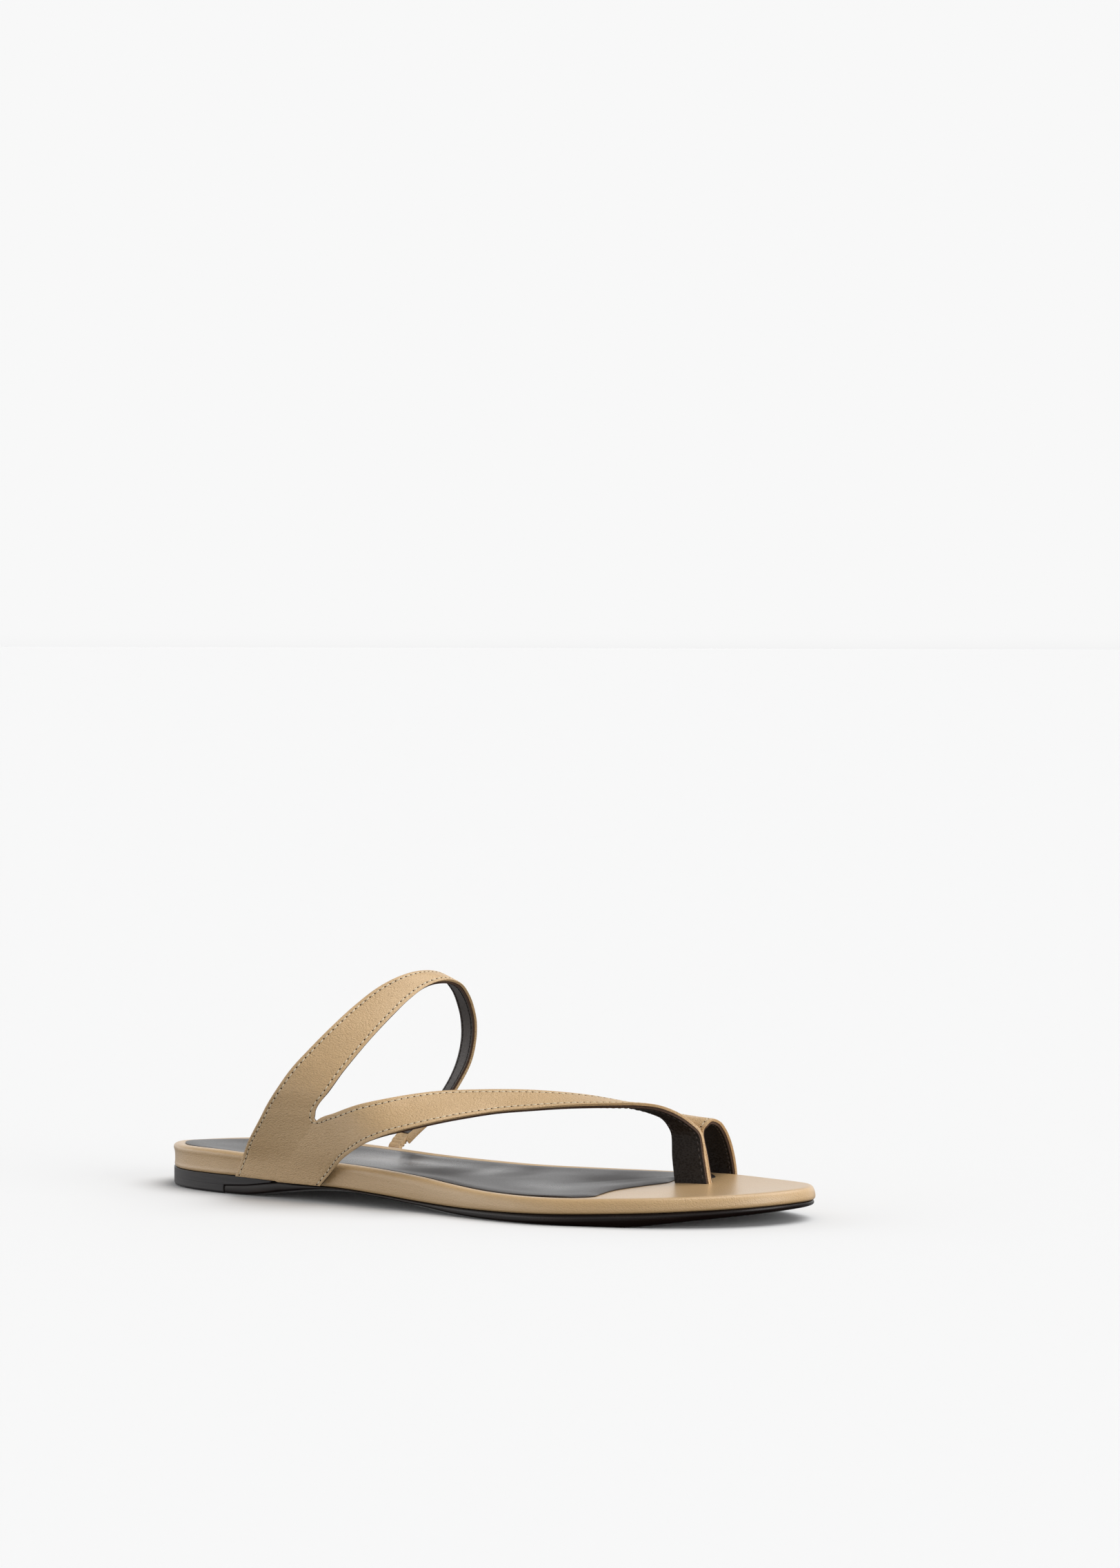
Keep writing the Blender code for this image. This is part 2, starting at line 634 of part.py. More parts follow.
def main() -> None:
    """Builds the sandal."""
    for old in list(bpy.data.objects):
        bpy.data.objects.remove(old)
    beige = finish("beige_leather", BEIGE, 0.45)
    dark = finish("dark_leather", DARK_LEATHER, 0.35)
    make_footbed(beige)
    make_sock(finish("sock_leather", SOCK_LEATHER, 0.4))
    make_outsole(dark)
    make_heel(finish("heel_rubber", RUBBER, 0.5), dark)
    make_upper(beige)
    make_elastic(beige)
    settle([obj for obj in bpy.data.objects if obj.type == "MESH"])


main()
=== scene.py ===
"""Looks of a flat leather sandal for the right foot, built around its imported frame.

Sizes are millimetres in a working frame whose x = 0 is the back of the heel, with +X to
the toe, +Y to the inner side of the foot and z = 0 on the floor. A Mold moves each
finished piece into the part's own frame, in metres.
"""
from __future__ import annotations

import logging
import math
from dataclasses import dataclass, field
from enum import Enum
from typing import Any, Callable, NamedTuple, Sequence

import bmesh
import bpy
import numpy as np
from mathutils import Matrix, Vector

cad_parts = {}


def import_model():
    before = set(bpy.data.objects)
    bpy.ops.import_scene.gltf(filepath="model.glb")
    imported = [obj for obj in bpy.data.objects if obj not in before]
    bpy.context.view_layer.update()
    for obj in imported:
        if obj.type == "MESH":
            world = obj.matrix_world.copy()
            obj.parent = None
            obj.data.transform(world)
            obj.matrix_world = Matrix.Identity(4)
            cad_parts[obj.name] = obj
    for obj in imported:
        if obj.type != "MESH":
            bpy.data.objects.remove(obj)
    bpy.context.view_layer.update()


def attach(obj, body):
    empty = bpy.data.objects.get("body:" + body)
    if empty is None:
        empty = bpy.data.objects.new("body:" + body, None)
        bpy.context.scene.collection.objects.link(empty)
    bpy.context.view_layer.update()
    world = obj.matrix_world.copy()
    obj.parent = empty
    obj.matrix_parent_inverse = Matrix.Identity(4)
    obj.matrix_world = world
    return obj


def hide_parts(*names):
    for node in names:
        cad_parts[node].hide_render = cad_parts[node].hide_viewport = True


LOG = logging.getLogger("sandal")
MM = 0.001
SHIFT = np.array([127.76, 3.2, 0.0])  # middle of the shoe in the working frame
BODY = "root"
COAT_ROUGHNESS = 0.32
CELL_SMOOTHNESS = 0.35
BROAD, USUAL, FINE = 2.0, 3.0, 4.0  # detail of a noise
HALF = 0.5  # middle of a noise or a strap, and the profile of a round edge
EDGE_ANGLE = math.radians(55.0)  # edges sharper than this are rounded
TABLE_STEPS = 8  # steps between two rows of a table
LEAST_GAP = 1e-6  # between two points of a curve
CHUNK = 2000  # places measured at a time
STRAIGHT_UP = (0.0, 0.0, 1.0)
MIX_LOW, MIX_HIGH, MIX_RESULT = 6, 7, 2  # colour sockets of a Mix node

Array = np.ndarray
Colour = tuple[float, float, float]
Point = tuple[float, float, float]
Span = tuple[float, float]
Heights = Callable[[Array, Array], Array]
Surface = Callable[[Array, Array], Array]
Ring = tuple[Array | float, Heights]


class Breadth(NamedTuple):
    """One row of the sole outline: station, outer edge and inner edge."""

    x: float
    lateral: float
    medial: float


class Level(NamedTuple):
    """Heights at one station: footbed underside and rim at both edges, dish, and outsole underside."""

    x: float
    under_lateral: float
    under_medial: float
    rim_lateral: float
    rim_medial: float
    dish: float
    ground: float
    bevel: float
    edge: float


class Mark(NamedTuple):
    """A height at a station."""

    x: float
    z: float


class Rung(NamedTuple):
    """One section of a strap: its back (or upper) edge and its front (or lower) edge, outer face."""

    back: Point
    front: Point


class BaseRung(NamedTuple):
    """One section of the wide outer base: back edge, where the fork divides it, front edge."""

    back: Point
    fork: Point
    front: Point


class Turn(NamedTuple):
    """One place on a layer's section: inset, share of the layer's height, rise over it, hollow."""

    inset: float
    share: float
    over: float = 0.0
    hollow: float = 0.0


class Side(Enum):
    """The two edges of a strap."""

    BACK = "back"
    FRONT = "front"


class Needle(NamedTuple):
    """A place of the stitch line round the fork: the strap's side, share of the inset, rows past the fork."""

    side: Side
    share: float
    past: float


class Wave(NamedTuple):
    """A ripple: its height, and its turns across and along in radians."""

    height: float
    across: float
    along: float


OUTLINE = (
    Breadth(3.0, -12.0, 11.5),
    Breadth(13.0, -22.5, 21.5),
    Breadth(32.0, -28.8, 28.0),
    Breadth(65.0, -31.5, 28.5),
    Breadth(100.0, -33.5, 25.0),
    Breadth(130.0, -36.8, 26.0),
    Breadth(160.0, -42.0, 35.0),
    Breadth(180.0, -42.6, 41.5),
    Breadth(200.0, -37.5, 43.6),
    Breadth(220.0, -29.5, 41.0),
    Breadth(238.5, -16.8, 34.5),
    Breadth(250.5, -2.5, 26.5),
)
LEVELS = (
    Level(0.0, 6.6, 6.8, 15.2, 13.8, 1.0, 0.0, 1.2, 2.6),
    Level(35.0, 6.8, 7.0, 15.6, 14.4, 2.6, 0.0, 1.2, 2.6),
    Level(48.0, 6.8, 7.0, 15.2, 14.2, 2.8, 0.0, 1.6, 3.2),
    Level(63.0, 6.1, 7.0, 14.8, 13.9, 2.8, 1.6, 3.0, 3.2),
    Level(77.0, 5.8, 7.1, 14.5, 13.4, 2.6, 3.2, 4.5, 1.4),
    Level(90.0, 5.7, 7.2, 14.4, 12.9, 2.4, 3.7, 5.5, 0.6),
    Level(108.0, 4.8, 7.1, 13.6, 12.3, 2.2, 2.7, 5.0, 0.9),
    Level(126.0, 3.7, 6.4, 12.3, 11.8, 2.0, 1.3, 3.4, 1.2),
    Level(140.0, 3.2, 5.6, 10.8, 11.3, 1.7, 0.3, 2.2, 1.9),
    Level(158.0, 3.2, 4.8, 9.5, 10.9, 1.3, 0.0, 1.4, 2.6),
    Level(185.0, 3.8, 4.1, 9.2, 10.5, 0.9, 0.0, 1.2, 2.9),
    Level(208.0, 4.7, 4.3, 9.9, 10.9, 0.5, 0.0, 1.2, 2.7),
    Level(230.0, 5.8, 5.0, 10.7, 11.0, 0.3, 2.5, 1.2, 2.0),
    Level(255.5, 7.2, 7.0, 11.9, 11.9, 0.2, 5.2, 1.2, 1.4),
)
LIFT = (Mark(0.0, 3.1), Mark(36.0, 3.1), Mark(49.0, 4.0), Mark(64.5, 6.2), Mark(70.0, 9.0))
NOTCH = (1.4, -0.1, -0.3)  # across the round bottom of the fork
BASE = (
    BaseRung((45.5, -32.6, 7.0), (64.0, -33.9, 6.6), (84.3, -35.1, 6.2)),
    BaseRung((48.8, -33.2, 13.2), (69.5, -34.8, 13.0), (90.0, -36.2, 11.5)),
    BaseRung((54.2, -36.6, 20.6), (76.5, -36.8, 21.0), (93.6, -37.6, 14.6)),
    BaseRung((61.9, -39.6, 30.1), (83.9, -38.2, 30.3), (96.6, -38.9, 16.9)),
)
INSTEP = (
    Rung((64.4, -40.3, 33.6), (84.8, -38.3, 33.8)),
    Rung((69.3, -41.0, 39.9), (89.3, -37.3, 40.0)),
    Rung((74.8, -39.0, 48.0), (92.8, -33.0, 47.1)),
    Rung((79.6, -34.6, 54.9), (95.9, -27.3, 53.9)),
    Rung((84.3, -28.7, 62.0), (98.8, -20.5, 60.6)),
    Rung((88.3, -20.0, 69.2), (101.2, -12.4, 67.0)),
    Rung((93.1, -10.7, 75.9), (103.2, -3.5, 72.6)),
    Rung((97.4, -2.0, 79.8), (105.2, 4.5, 76.3)),
    Rung((99.2, 9.0, 81.0), (107.6, 12.5, 77.8)),
    Rung((99.4, 20.5, 79.4), (107.6, 21.5, 75.8)),
    Rung((97.8, 31.0, 74.2), (105.3, 30.5, 71.2)),
    Rung((95.3, 39.2, 67.6), (102.6, 38.0, 65.7)),
    Rung((93.2, 45.0, 60.5), (100.4, 43.3, 59.6)),
    Rung((91.0, 48.6, 52.3), (98.0, 46.6, 52.3)),
    Rung((88.2, 49.6, 43.6), (95.0, 47.9, 44.0)),
    Rung((84.6, 48.5, 34.9), (90.8, 46.8, 35.6)),
    Rung((80.4, 44.6, 26.9), (86.6, 43.5, 27.6)),
    Rung((75.6, 40.6, 22.3), (82.1, 39.6, 22.0)),
    Rung((71.2, 36.0, 17.2), (77.1, 35.2, 16.6)),
)
ELASTIC = (
    Rung((71.3, 35.7, 16.7), (77.1, 34.9, 16.3)),
    Rung((71.0, 34.2, 15.6), (76.8, 33.5, 15.4)),
    Rung((70.7, 32.8, 14.4), (76.3, 32.2, 14.2)),
    Rung((70.1, 31.2, 12.3), (75.5, 30.7, 12.1)),
    Rung((69.6, 30.9, 8.5), (75.2, 30.4, 8.4)),
)
FACING = (
    Rung((83.6, 41.0, 25.8), (88.1, 40.2, 26.7)),
    Rung((81.6, 39.0, 22.8), (86.1, 38.2, 23.9)),
    Rung((79.1, 36.8, 20.1), (83.9, 36.0, 21.2)),
    Rung((77.1, 34.8, 18.1), (81.1, 34.2, 18.1)),
    Rung((75.2, 32.8, 16.4), (77.7, 32.4, 14.2)),
)
FORWARD = (
    Rung((94.0, -39.3, 33.4), (102.2, -41.0, 20.2)),
    Rung((103.0, -38.5, 36.7), (108.2, -41.9, 23.6)),
    Rung((111.0, -34.0, 38.8), (115.2, -41.2, 26.7)),
    Rung((118.0, -26.2, 40.3), (123.0, -38.6, 29.4)),
    Rung((125.0, -18.4, 41.2), (131.4, -33.2, 31.9)),
    Rung((133.5, -11.8, 41.5), (139.2, -24.8, 33.7)),
    Rung((143.0, -6.5, 41.7), (147.5, -16.2, 35.1)),
    Rung((152.0, -1.0, 41.5), (156.8, -10.2, 36.1)),
    Rung((160.5, 4.5, 40.8), (166.5, -4.6, 37.1)),
    Rung((169.0, 8.5, 39.9), (175.8, -1.0, 37.8)),
    Rung((177.7, 10.2, 38.8), (184.5, 1.4, 38.3)),
    Rung((185.4, 11.6, 37.4), (192.5, 4.2, 38.6)),
    Rung((191.6, 13.1, 35.8), (199.2, 7.8, 37.8)),
    Rung((196.2, 14.6, 33.7), (204.4, 11.4, 35.4)),
    Rung((198.0, 15.8, 31.0), (208.2, 14.4, 32.2)),
)
THONG_LATERAL = (
    Rung((198.8, 17.2, 27.4), (211.0, 17.1, 28.2)),
    Rung((199.3, 17.25, 18.5), (212.8, 17.25, 19.4)),
    Rung((200.4, 17.25, 9.4), (214.6, 17.25, 9.6)),
)
THONG_MEDIAL = (
    Rung((200.4, 17.35, 9.4), (214.6, 17.35, 9.6)),
    Rung((199.3, 17.35, 18.5), (212.8, 17.35, 19.4)),
    Rung((198.8, 17.6, 27.4), (211.0, 17.6, 28.2)),
)
LOOP = (
    Rung((198.0, 18.3, 30.0), (212.0, 18.5, 30.7)),
    Rung((197.3, 20.7, 32.3), (212.8, 21.0, 32.5)),
    Rung((196.4, 25.8, 33.0), (213.2, 26.2, 31.2)),
    Rung((195.3, 31.2, 31.4), (212.6, 31.4, 28.0)),
    Rung((194.0, 37.2, 27.8), (211.5, 36.5, 23.9)),
    Rung((193.0, 42.0, 22.8), (210.3, 41.0, 19.2)),
    Rung((192.3, 44.8, 16.8), (209.4, 44.2, 14.5)),
    Rung((191.6, 45.9, 10.8), (208.8, 46.1, 10.0)),
    Rung((191.2, 46.0, 4.6), (208.4, 46.3, 4.5)),
)
SOCK_FRONT = (
    (-40.0, 187.0),
    (-34.0, 191.5),
    (-28.5, 194.3),
    (-21.0, 192.6),
    (-9.0, 191.4),
    (5.0, 195.2),
    (14.0, 198.6),
    (22.0, 197.8),
    (30.5, 208.0),
    (34.5, 206.2),
    (42.0, 199.0),
)


# Curves
def through(points: Sequence[Sequence[float]] | Array, per_span: int, closed: bool = False) -> Array:
    """Smooth curve through points.

    Args:
        points: places to pass, in any number of dimensions.
        per_span: steps between two of them.
        closed: whether the last joins the first.

    Returns:
        The curve's points, one row each.
    """
    pts = np.asarray(points, float)
    if closed:
        ahead = np.vstack([pts[-1:], pts, pts[:2]])
    else:
        ahead = np.vstack([2 * pts[:1] - pts[1:2], pts, 2 * pts[-1:] - pts[-2:-1]])
    t = (np.arange(per_span) / per_span)[:, None]
    out = []
    for i in range(len(ahead) - 3):
        p0, p1, p2, p3 = ahead[i:i + 4]
        pairs = ((p0, p1), (p1, p2), (p2, p3))
        gaps = [max(float(np.linalg.norm(b - a)), LEAST_GAP) ** 0.5 for a, b in pairs]
        m1 = gaps[1] * ((p1 - p0) / gaps[0] - (p2 - p0) / (gaps[0] + gaps[1])) + (p2 - p1)
        m2 = gaps[1] * ((p3 - p2) / gaps[2] - (p3 - p1) / (gaps[1] + gaps[2])) + (p2 - p1)
        rise = 3 * t ** 2 - 2 * t ** 3
        out.append((1 - rise) * p1 + rise * p2 + (t ** 3 - 2 * t ** 2 + t) * m1 + (t ** 3 - t ** 2) * m2)
    if not closed:
        out.append(pts[-1:])
    return np.vstack(out)


def spread(points: Array, count: int) -> Array:
    """Evenly spaced points along a polyline.

    Args:
        points: the polyline.
        count: how many points to give.

    Returns:
        The points, ends included.
    """
    steps = np.linalg.norm(np.diff(points, axis=0), axis=1)
    run = np.concatenate([[0.0], np.cumsum(steps)])
    want = np.linspace(0.0, run[-1], count)
    return np.stack([np.interp(want, run, column) for column in points.T], 1)


def nearest(places: Array, marks: Array) -> Array:
    """Distance of each place to the closest of some marks."""
    parts = [np.linalg.norm(chunk[:, None, :] - marks[None], axis=2).min(1)
             for chunk in np.array_split(places, max(1, len(places) // CHUNK))]
    return np.concatenate(parts)


def bell(distance: Array, width: float) -> Array:
    """A soft hump of height one around zero."""
    return np.exp(-(distance / width) ** 2)


def blend(first: Array, last: Array, share: Array) -> Array:
    """Points part of the way from the first rows to the last."""
    return first * (1.0 - share[:, None]) + last * share[:, None]


def unit(rows: Array) -> Array:
    """Rows scaled to length one."""
    return rows / np.linalg.norm(rows, axis=1)[:, None]


def height_at(marks: Sequence[Mark], x: Array) -> Array:
    """Height of a row of marks at stations x."""
    return np.interp(x, *zip(*marks))


# Shader writing
class Signal:
    """A shader socket that takes part in Python expressions."""

    def __init__(self, shade: Shade, socket: bpy.types.NodeSocket) -> None:
        """Keeps the socket and the shade it belongs to."""
        self.shade = shade
        self.socket = socket

    def __add__(self, other: Signal | float) -> Signal:
        """Sum."""
        return self.shade.math("ADD", self, other)

    def __sub__(self, other: Signal | float) -> Signal:
        """Difference."""
        return self.shade.math("SUBTRACT", self, other)

    def __rsub__(self, other: float) -> Signal:
        """Difference from a number."""
        return self.shade.math("SUBTRACT", other, self)

    def __mul__(self, other: Signal | float) -> Signal:
        """Product."""
        return self.shade.math("MULTIPLY", self, other)

    __radd__ = __add__
    __rmul__ = __mul__


class Shade:
    """A material or a world whose nodes are written as expressions."""

    def __init__(self, owner: bpy.types.Material | bpy.types.World) -> None:
        """Starts an empty node tree.

        Args:
            owner: the material or the world.
        """
        owner.use_nodes = True
        self.owner = owner
        self.tree = owner.node_tree
        self.tree.nodes.clear()

    def node(self, kind: str, settings: dict[str, Any] | None = None,
             inputs: dict[str | int, Any] | None = None) -> bpy.types.Node:
        """Adds a node.

        Args:
            kind: the node's type.
            settings: its properties, set first.
            inputs: values or signals of its sockets.

        Returns:
            The node.
        """
        made = self.tree.nodes.new(kind)
        for key, value in (settings or {}).items():
            setattr(made, key, value)
        for key, value in (inputs or {}).items():
            if isinstance(value, Signal):
                self.tree.links.new(value.socket, made.inputs[key])
            elif isinstance(value, tuple) and made.inputs[key].type == "RGBA":
                made.inputs[key].default_value = (*value, 1.0)
            else:
                made.inputs[key].default_value = value
        return made

    def out(self, made: bpy.types.Node, key: str | int = 0) -> Signal:
        """One output of a node."""
        return Signal(self, made.outputs[key])

    def math(self, operation: str, first: Signal | float, second: Signal | float) -> Signal:
        """A Math node on values."""
        return self.out(self.node("ShaderNodeMath", {"operation": operation}, {0: first, 1: second}))

    def vector(self, operation: str, *values: Signal | Point, key: str = "Vector") -> Signal:
        """A Vector Math node; key is its output."""
        made = self.node("ShaderNodeVectorMath", {"operation": operation}, dict(enumerate(values)))
        return self.out(made, key)

    def axis(self, place: Signal, key: str) -> Signal:
        """One of the coordinates X, Y and Z."""
        return self.out(self.node("ShaderNodeSeparateXYZ", None, {0: place}), key)

    def ramp(self, value: Signal, low: float, high: float, first: float = 0.0, last: float = 1.0) -> Signal:
        """A smooth step from the first number at low to the last at high."""
        made = self.node("ShaderNodeMapRange", {"interpolation_type": "SMOOTHSTEP"},
                         {"Value": value, "From Min": low, "From Max": high, "To Min": first, "To Max": last})
        return self.out(made, "Result")

    def millimetres(self) -> Signal:
        """Object coordinates in millimetres."""
        place = self.out(self.node("ShaderNodeTexCoord"), "Object")
        return self.vector("MULTIPLY", place, (1.0 / MM,) * 3)

    def warped(self, place: Signal, size: float, amount: float) -> Signal:
        """Coordinates pushed about by a noise.

        Args:
            place: coordinates in millimetres.
            size: size of the noise in millimetres.
            amount: how far it pushes, in millimetres.

        Returns:
            The new coordinates.
        """
        push = self.vector("SUBTRACT", self.noise(place, size, BROAD, "Color"), (HALF,) * 3)
        return self.vector("MULTIPLY_ADD", push, (2 * amount,) * 3, place)

    def noise(self, place: Signal, size: float, detail: float = USUAL, key: str = "Fac") -> Signal:
        """A noise whose features are about size millimetres; key is its output."""
        made = self.node("ShaderNodeTexNoise", None, {"Vector": place, "Scale": 1.0 / size, "Detail": detail})
        return self.out(made, key)

    def swing(self, noise: Signal, amount: float) -> Signal:
        """A noise that swings about zero."""
        return (noise - HALF) * amount

    def cells(self, place: Signal, size: float) -> Signal:
        """Distance to the middle of pebble cells about size millimetres across."""
        made = self.node("ShaderNodeTexVoronoi", {"feature": "SMOOTH_F1"},
                         {"Vector": place, "Scale": 1.0 / size, "Smoothness": CELL_SMOOTHNESS})
        return self.out(made, "Distance")

    def mix(self, factor: Signal, low: Signal | Colour, high: Signal | Colour) -> Signal:
        """A blend of two colours."""
        inputs = {"Factor": factor, MIX_LOW: low, MIX_HIGH: high}
        return self.out(self.node("ShaderNodeMix", {"data_type": "RGBA"}, inputs), MIX_RESULT)

    def bump(self, height: Signal, depth: float, strength: float) -> Signal:
        """A normal bent by a height of depth millimetres."""
        inputs = {"Height": height, "Distance": depth * MM, "Strength": strength}
        return self.out(self.node("ShaderNodeBump", None, inputs))

    def surface(self, **inputs: Any) -> bpy.types.Material:
        """Closes the tree with a Principled shader.

        Args:
            inputs: values or signals of its sockets, with underscores for spaces.

        Returns:
            The material.
        """
        sockets = {key.replace("_", " "): value for key, value in inputs.items()}
        shader = self.node("ShaderNodeBsdfPrincipled", None, sockets)
        self.node("ShaderNodeOutputMaterial", None, {"Surface": self.out(shader)})
        return self.owner


# Finishes
@dataclass(frozen=True)
class GrainLeather:
    """Pebbled leather."""

    name: str
    colour: Colour
    crease: Colour
    tint: Colour
    cell: float
    depth: float
    strength: float
    roughness: float
    contrast: float
    specular: float = 0.5
    coat: float = 0.0
    # Colour towards the front. On the lining it is partly painted shade, and its lighter grey behind is
    # partly painted sheen.
    front: Colour | None = None
    stretch: Point = (0.75, 1.0, 1.15)
    warp: Span = (1.8, 0.7)
    wrinkle_share: float = 0.8
    patch_size: float = 18.0
    patch_band: Span = (0.35, 0.75)
    valley_band: Span = (0.28, 0.60)
    patch_swing: float = 0.14
    valley_dull: float = 0.05
    front_run: Span = (0.0, 60.0)
    front_dull: float = 0.16
    pebble_height: float = 0.7
    wrinkle_height: float = 0.6

    def material(self) -> bpy.types.Material:
        """Writes the nodes."""
        shade = Shade(bpy.data.materials.new(self.name))
        place = shade.millimetres()
        bent = shade.warped(shade.vector("MULTIPLY", place, self.stretch), *self.warp)
        pebble = shade.cells(bent, self.cell)
        wrinkle = shade.noise(bent, self.cell * self.wrinkle_share, FINE)
        patch = shade.noise(place, self.patch_size, BROAD)
        valley = shade.ramp(pebble, *self.valley_band)
        tone = shade.mix(shade.ramp(patch, *self.patch_band), self.colour, self.tint)
        gloss = self.roughness + shade.swing(patch, self.patch_swing) + valley * self.valley_dull
        # The colour turns to the front colour along X. On the lining this is painted light: lighter grey
        # behind for its sheen, dark brown in front partly for shade.
        if self.front:
            forth = shade.ramp(shade.axis(place, "X"), *self.front_run)
            tone = shade.mix(forth, tone, self.front)
            gloss = gloss + forth * self.front_dull
        height = (1.0 - pebble * pebble) * self.pebble_height + wrinkle * self.wrinkle_height
        return shade.surface(
            Base_Color=shade.mix(valley * self.contrast, tone, self.crease),
            Roughness=gloss,
            Normal=shade.bump(height, self.depth, self.strength),
            Specular_IOR_Level=self.specular,
            Coat_Weight=self.coat,
            Coat_Roughness=COAT_ROUGHNESS,
        )


class Sheen(NamedTuple):
    """A patch of the sock that is smoother or duller: its middle, its reaches and the change of roughness."""

    x: float
    y: float
    along: float
    across: float
    change: float


@dataclass(frozen=True)
class SatinLeather:
    """Smooth dark insole leather with a soft sheen, polished and dulled in patches."""

    name: str
    colour: Colour
    worn: Colour
    roughness: float
    patches: tuple[Sheen, ...]
    cloud_size: float = 26.0
    cloud_band: Span = (0.4, 0.8)
    grain_size: float = 0.5
    grain_warp: Span = (1.4, 0.5)
    patch_warp: Span = (14.0, 4.0)
    swing: float = 0.2
    depth: float = 0.06
    strength: float = 0.5

    def patch(self, shade: Shade, place: Signal, sheen: Sheen) -> Signal:
        """One for the middle of a patch, fading to zero round it.

        Args:
            shade: the material's nodes.
            place: coordinates in millimetres.
            sheen: the patch.

        Returns:
            How far a place is in it.
        """
        middle = (sheen.x - SHIFT[0], sheen.y - SHIFT[1], 0.0)
        reach = (1.0 / sheen.along, 1.0 / sheen.across, 0.0)
        share = shade.vector("MULTIPLY", shade.vector("SUBTRACT", place, middle), reach)
        return 1.0 - shade.ramp(shade.vector("LENGTH", share, key="Value"), 0.0, 1.0)

    def material(self) -> bpy.types.Material:
        """Writes the nodes."""
        shade = Shade(bpy.data.materials.new(self.name))
        place = shade.millimetres()
        cloud = shade.noise(place, self.cloud_size, BROAD)
        grain = shade.noise(shade.warped(place, *self.grain_warp), self.grain_size, FINE)
        gloss = self.roughness + shade.swing(cloud, self.swing) + shade.swing(grain, self.swing)
        soft = shade.warped(place, *self.patch_warp)
        for sheen in self.patches:
            gloss = gloss + self.patch(shade, soft, sheen) * sheen.change
        return shade.surface(
            Base_Color=shade.mix(shade.ramp(cloud, *self.cloud_band), self.colour, self.worn),
            Roughness=gloss,
            Normal=shade.bump(grain, self.depth, self.strength),
        )


@dataclass(frozen=True)
class SoleEdge:
    """Stained sole leather or rubber with fine marks along its edge, more polished in front."""

    name: str
    colour: Colour
    worn: Colour
    roughness: float
    polish: float
    marks: float
    specular: float = 0.35
    polish_run: Span = (-40.0, 25.0)
    line_stretch: Point = (0.06, 0.06, 1.1)
    line_size: float = 1.0
    line_band: Span = (0.45, 0.8)
    line_swing: float = 0.16
    line_height: float = 0.8
    dust_size: float = 0.8
    dust_swing: float = 0.12
    dust_height: float = 0.4
    depth: float = 0.05

    def material(self) -> bpy.types.Material:
        """Writes the nodes."""
        shade = Shade(bpy.data.materials.new(self.name))
        place = shade.millimetres()
        front = shade.ramp(shade.axis(place, "X"), *self.polish_run)
        lines = shade.noise(shade.vector("MULTIPLY", place, self.line_stretch), self.line_size, BROAD)
        dust = shade.noise(place, self.dust_size, FINE)
        gloss = self.roughness + front * (self.polish - self.roughness)
        return shade.surface(
            Base_Color=shade.mix(shade.ramp(lines, *self.line_band), self.colour, self.worn),
            Roughness=gloss + shade.swing(lines, self.line_swing) + shade.swing(dust, self.dust_swing),
            Normal=shade.bump(lines * self.line_height + dust * self.dust_height, self.depth, self.marks),
            Specular_IOR_Level=self.specular,
        )


@dataclass(frozen=True)
class Thread:
    """Twisted sewing thread."""

    name: str
    colour: Colour
    shadow: Colour
    roughness: float = 0.6
    fibre_size: float = 0.25
    fibre_band: Span = (0.35, 0.7)
    swing: float = 0.2
    depth: float = 0.04
    strength: float = 0.5

    def material(self) -> bpy.types.Material:
        """Writes the nodes."""
        shade = Shade(bpy.data.materials.new(self.name))
        fibre = shade.noise(shade.millimetres(), self.fibre_size)
        return shade.surface(
            Base_Color=shade.mix(shade.ramp(fibre, *self.fibre_band), self.shadow, self.colour),
            Roughness=self.roughness + shade.swing(fibre, self.swing),
            Normal=shade.bump(fibre, self.depth, self.strength),
        )


@dataclass(frozen=True)
class PaleGround:
    """Matt studio floor."""

    name: str
    colour: Colour

    def material(self) -> bpy.types.Material:
        """Writes the nodes."""
        shade = Shade(bpy.data.materials.new(self.name))
        return shade.surface(Base_Color=self.colour, Roughness=1.0, Specular_IOR_Level=0.0)


STRAP_LEATHER = GrainLeather("strap_leather", (0.68, 0.455, 0.235), (0.50, 0.31, 0.145), (0.71, 0.485, 0.26),
                             0.52, 0.28, 1.0, 0.47, 0.2, coat=0.3)
WRAP_LEATHER = GrainLeather("wrap_leather", (0.65, 0.425, 0.205), (0.51, 0.32, 0.145), (0.68, 0.455, 0.23),
                            0.5, 0.19, 0.8, 0.40, 0.16, coat=0.8)
# Lining: lighter grey behind, partly painted sheen; near-black warm brown in front, its own colour and partly
# painted shade.
LINING_LEATHER_PAINTED_LIGHT = GrainLeather("lining_leather_painted_light", (0.150, 0.138, 0.134), (0.072, 0.066, 0.064),
                              (0.180, 0.166, 0.161), 0.7, 0.13, 0.7, 0.38, 0.25, 0.2,
                              front=(0.009, 0.0048, 0.0024))
RAW_EDGE = GrainLeather("raw_edge", (0.085, 0.047, 0.030), (0.035, 0.020, 0.013), (0.115, 0.068, 0.046),
                        0.4, 0.12, 0.6, 0.75, 0.5, 0.3)
SOCK_LEATHER = SatinLeather("sock_leather", (0.024, 0.020, 0.019), (0.036, 0.031, 0.030), 0.34, (
    Sheen(88.0, 6.0, 40.0, 32.0, -0.16),
    Sheen(120.0, -12.0, 18.0, 22.0, 0.22),
    Sheen(132.0, 6.0, 8.0, 26.0, -0.10),
    Sheen(143.0, 8.0, 10.0, 18.0, 0.12),
    Sheen(167.0, -15.0, 20.0, 16.0, -0.12),
    Sheen(178.0, 16.0, 22.0, 20.0, 0.24),
))
SOLE_LEATHER = SoleEdge("sole_leather", (0.011, 0.006, 0.005), (0.026, 0.016, 0.012), 0.42, 0.26, 0.2)
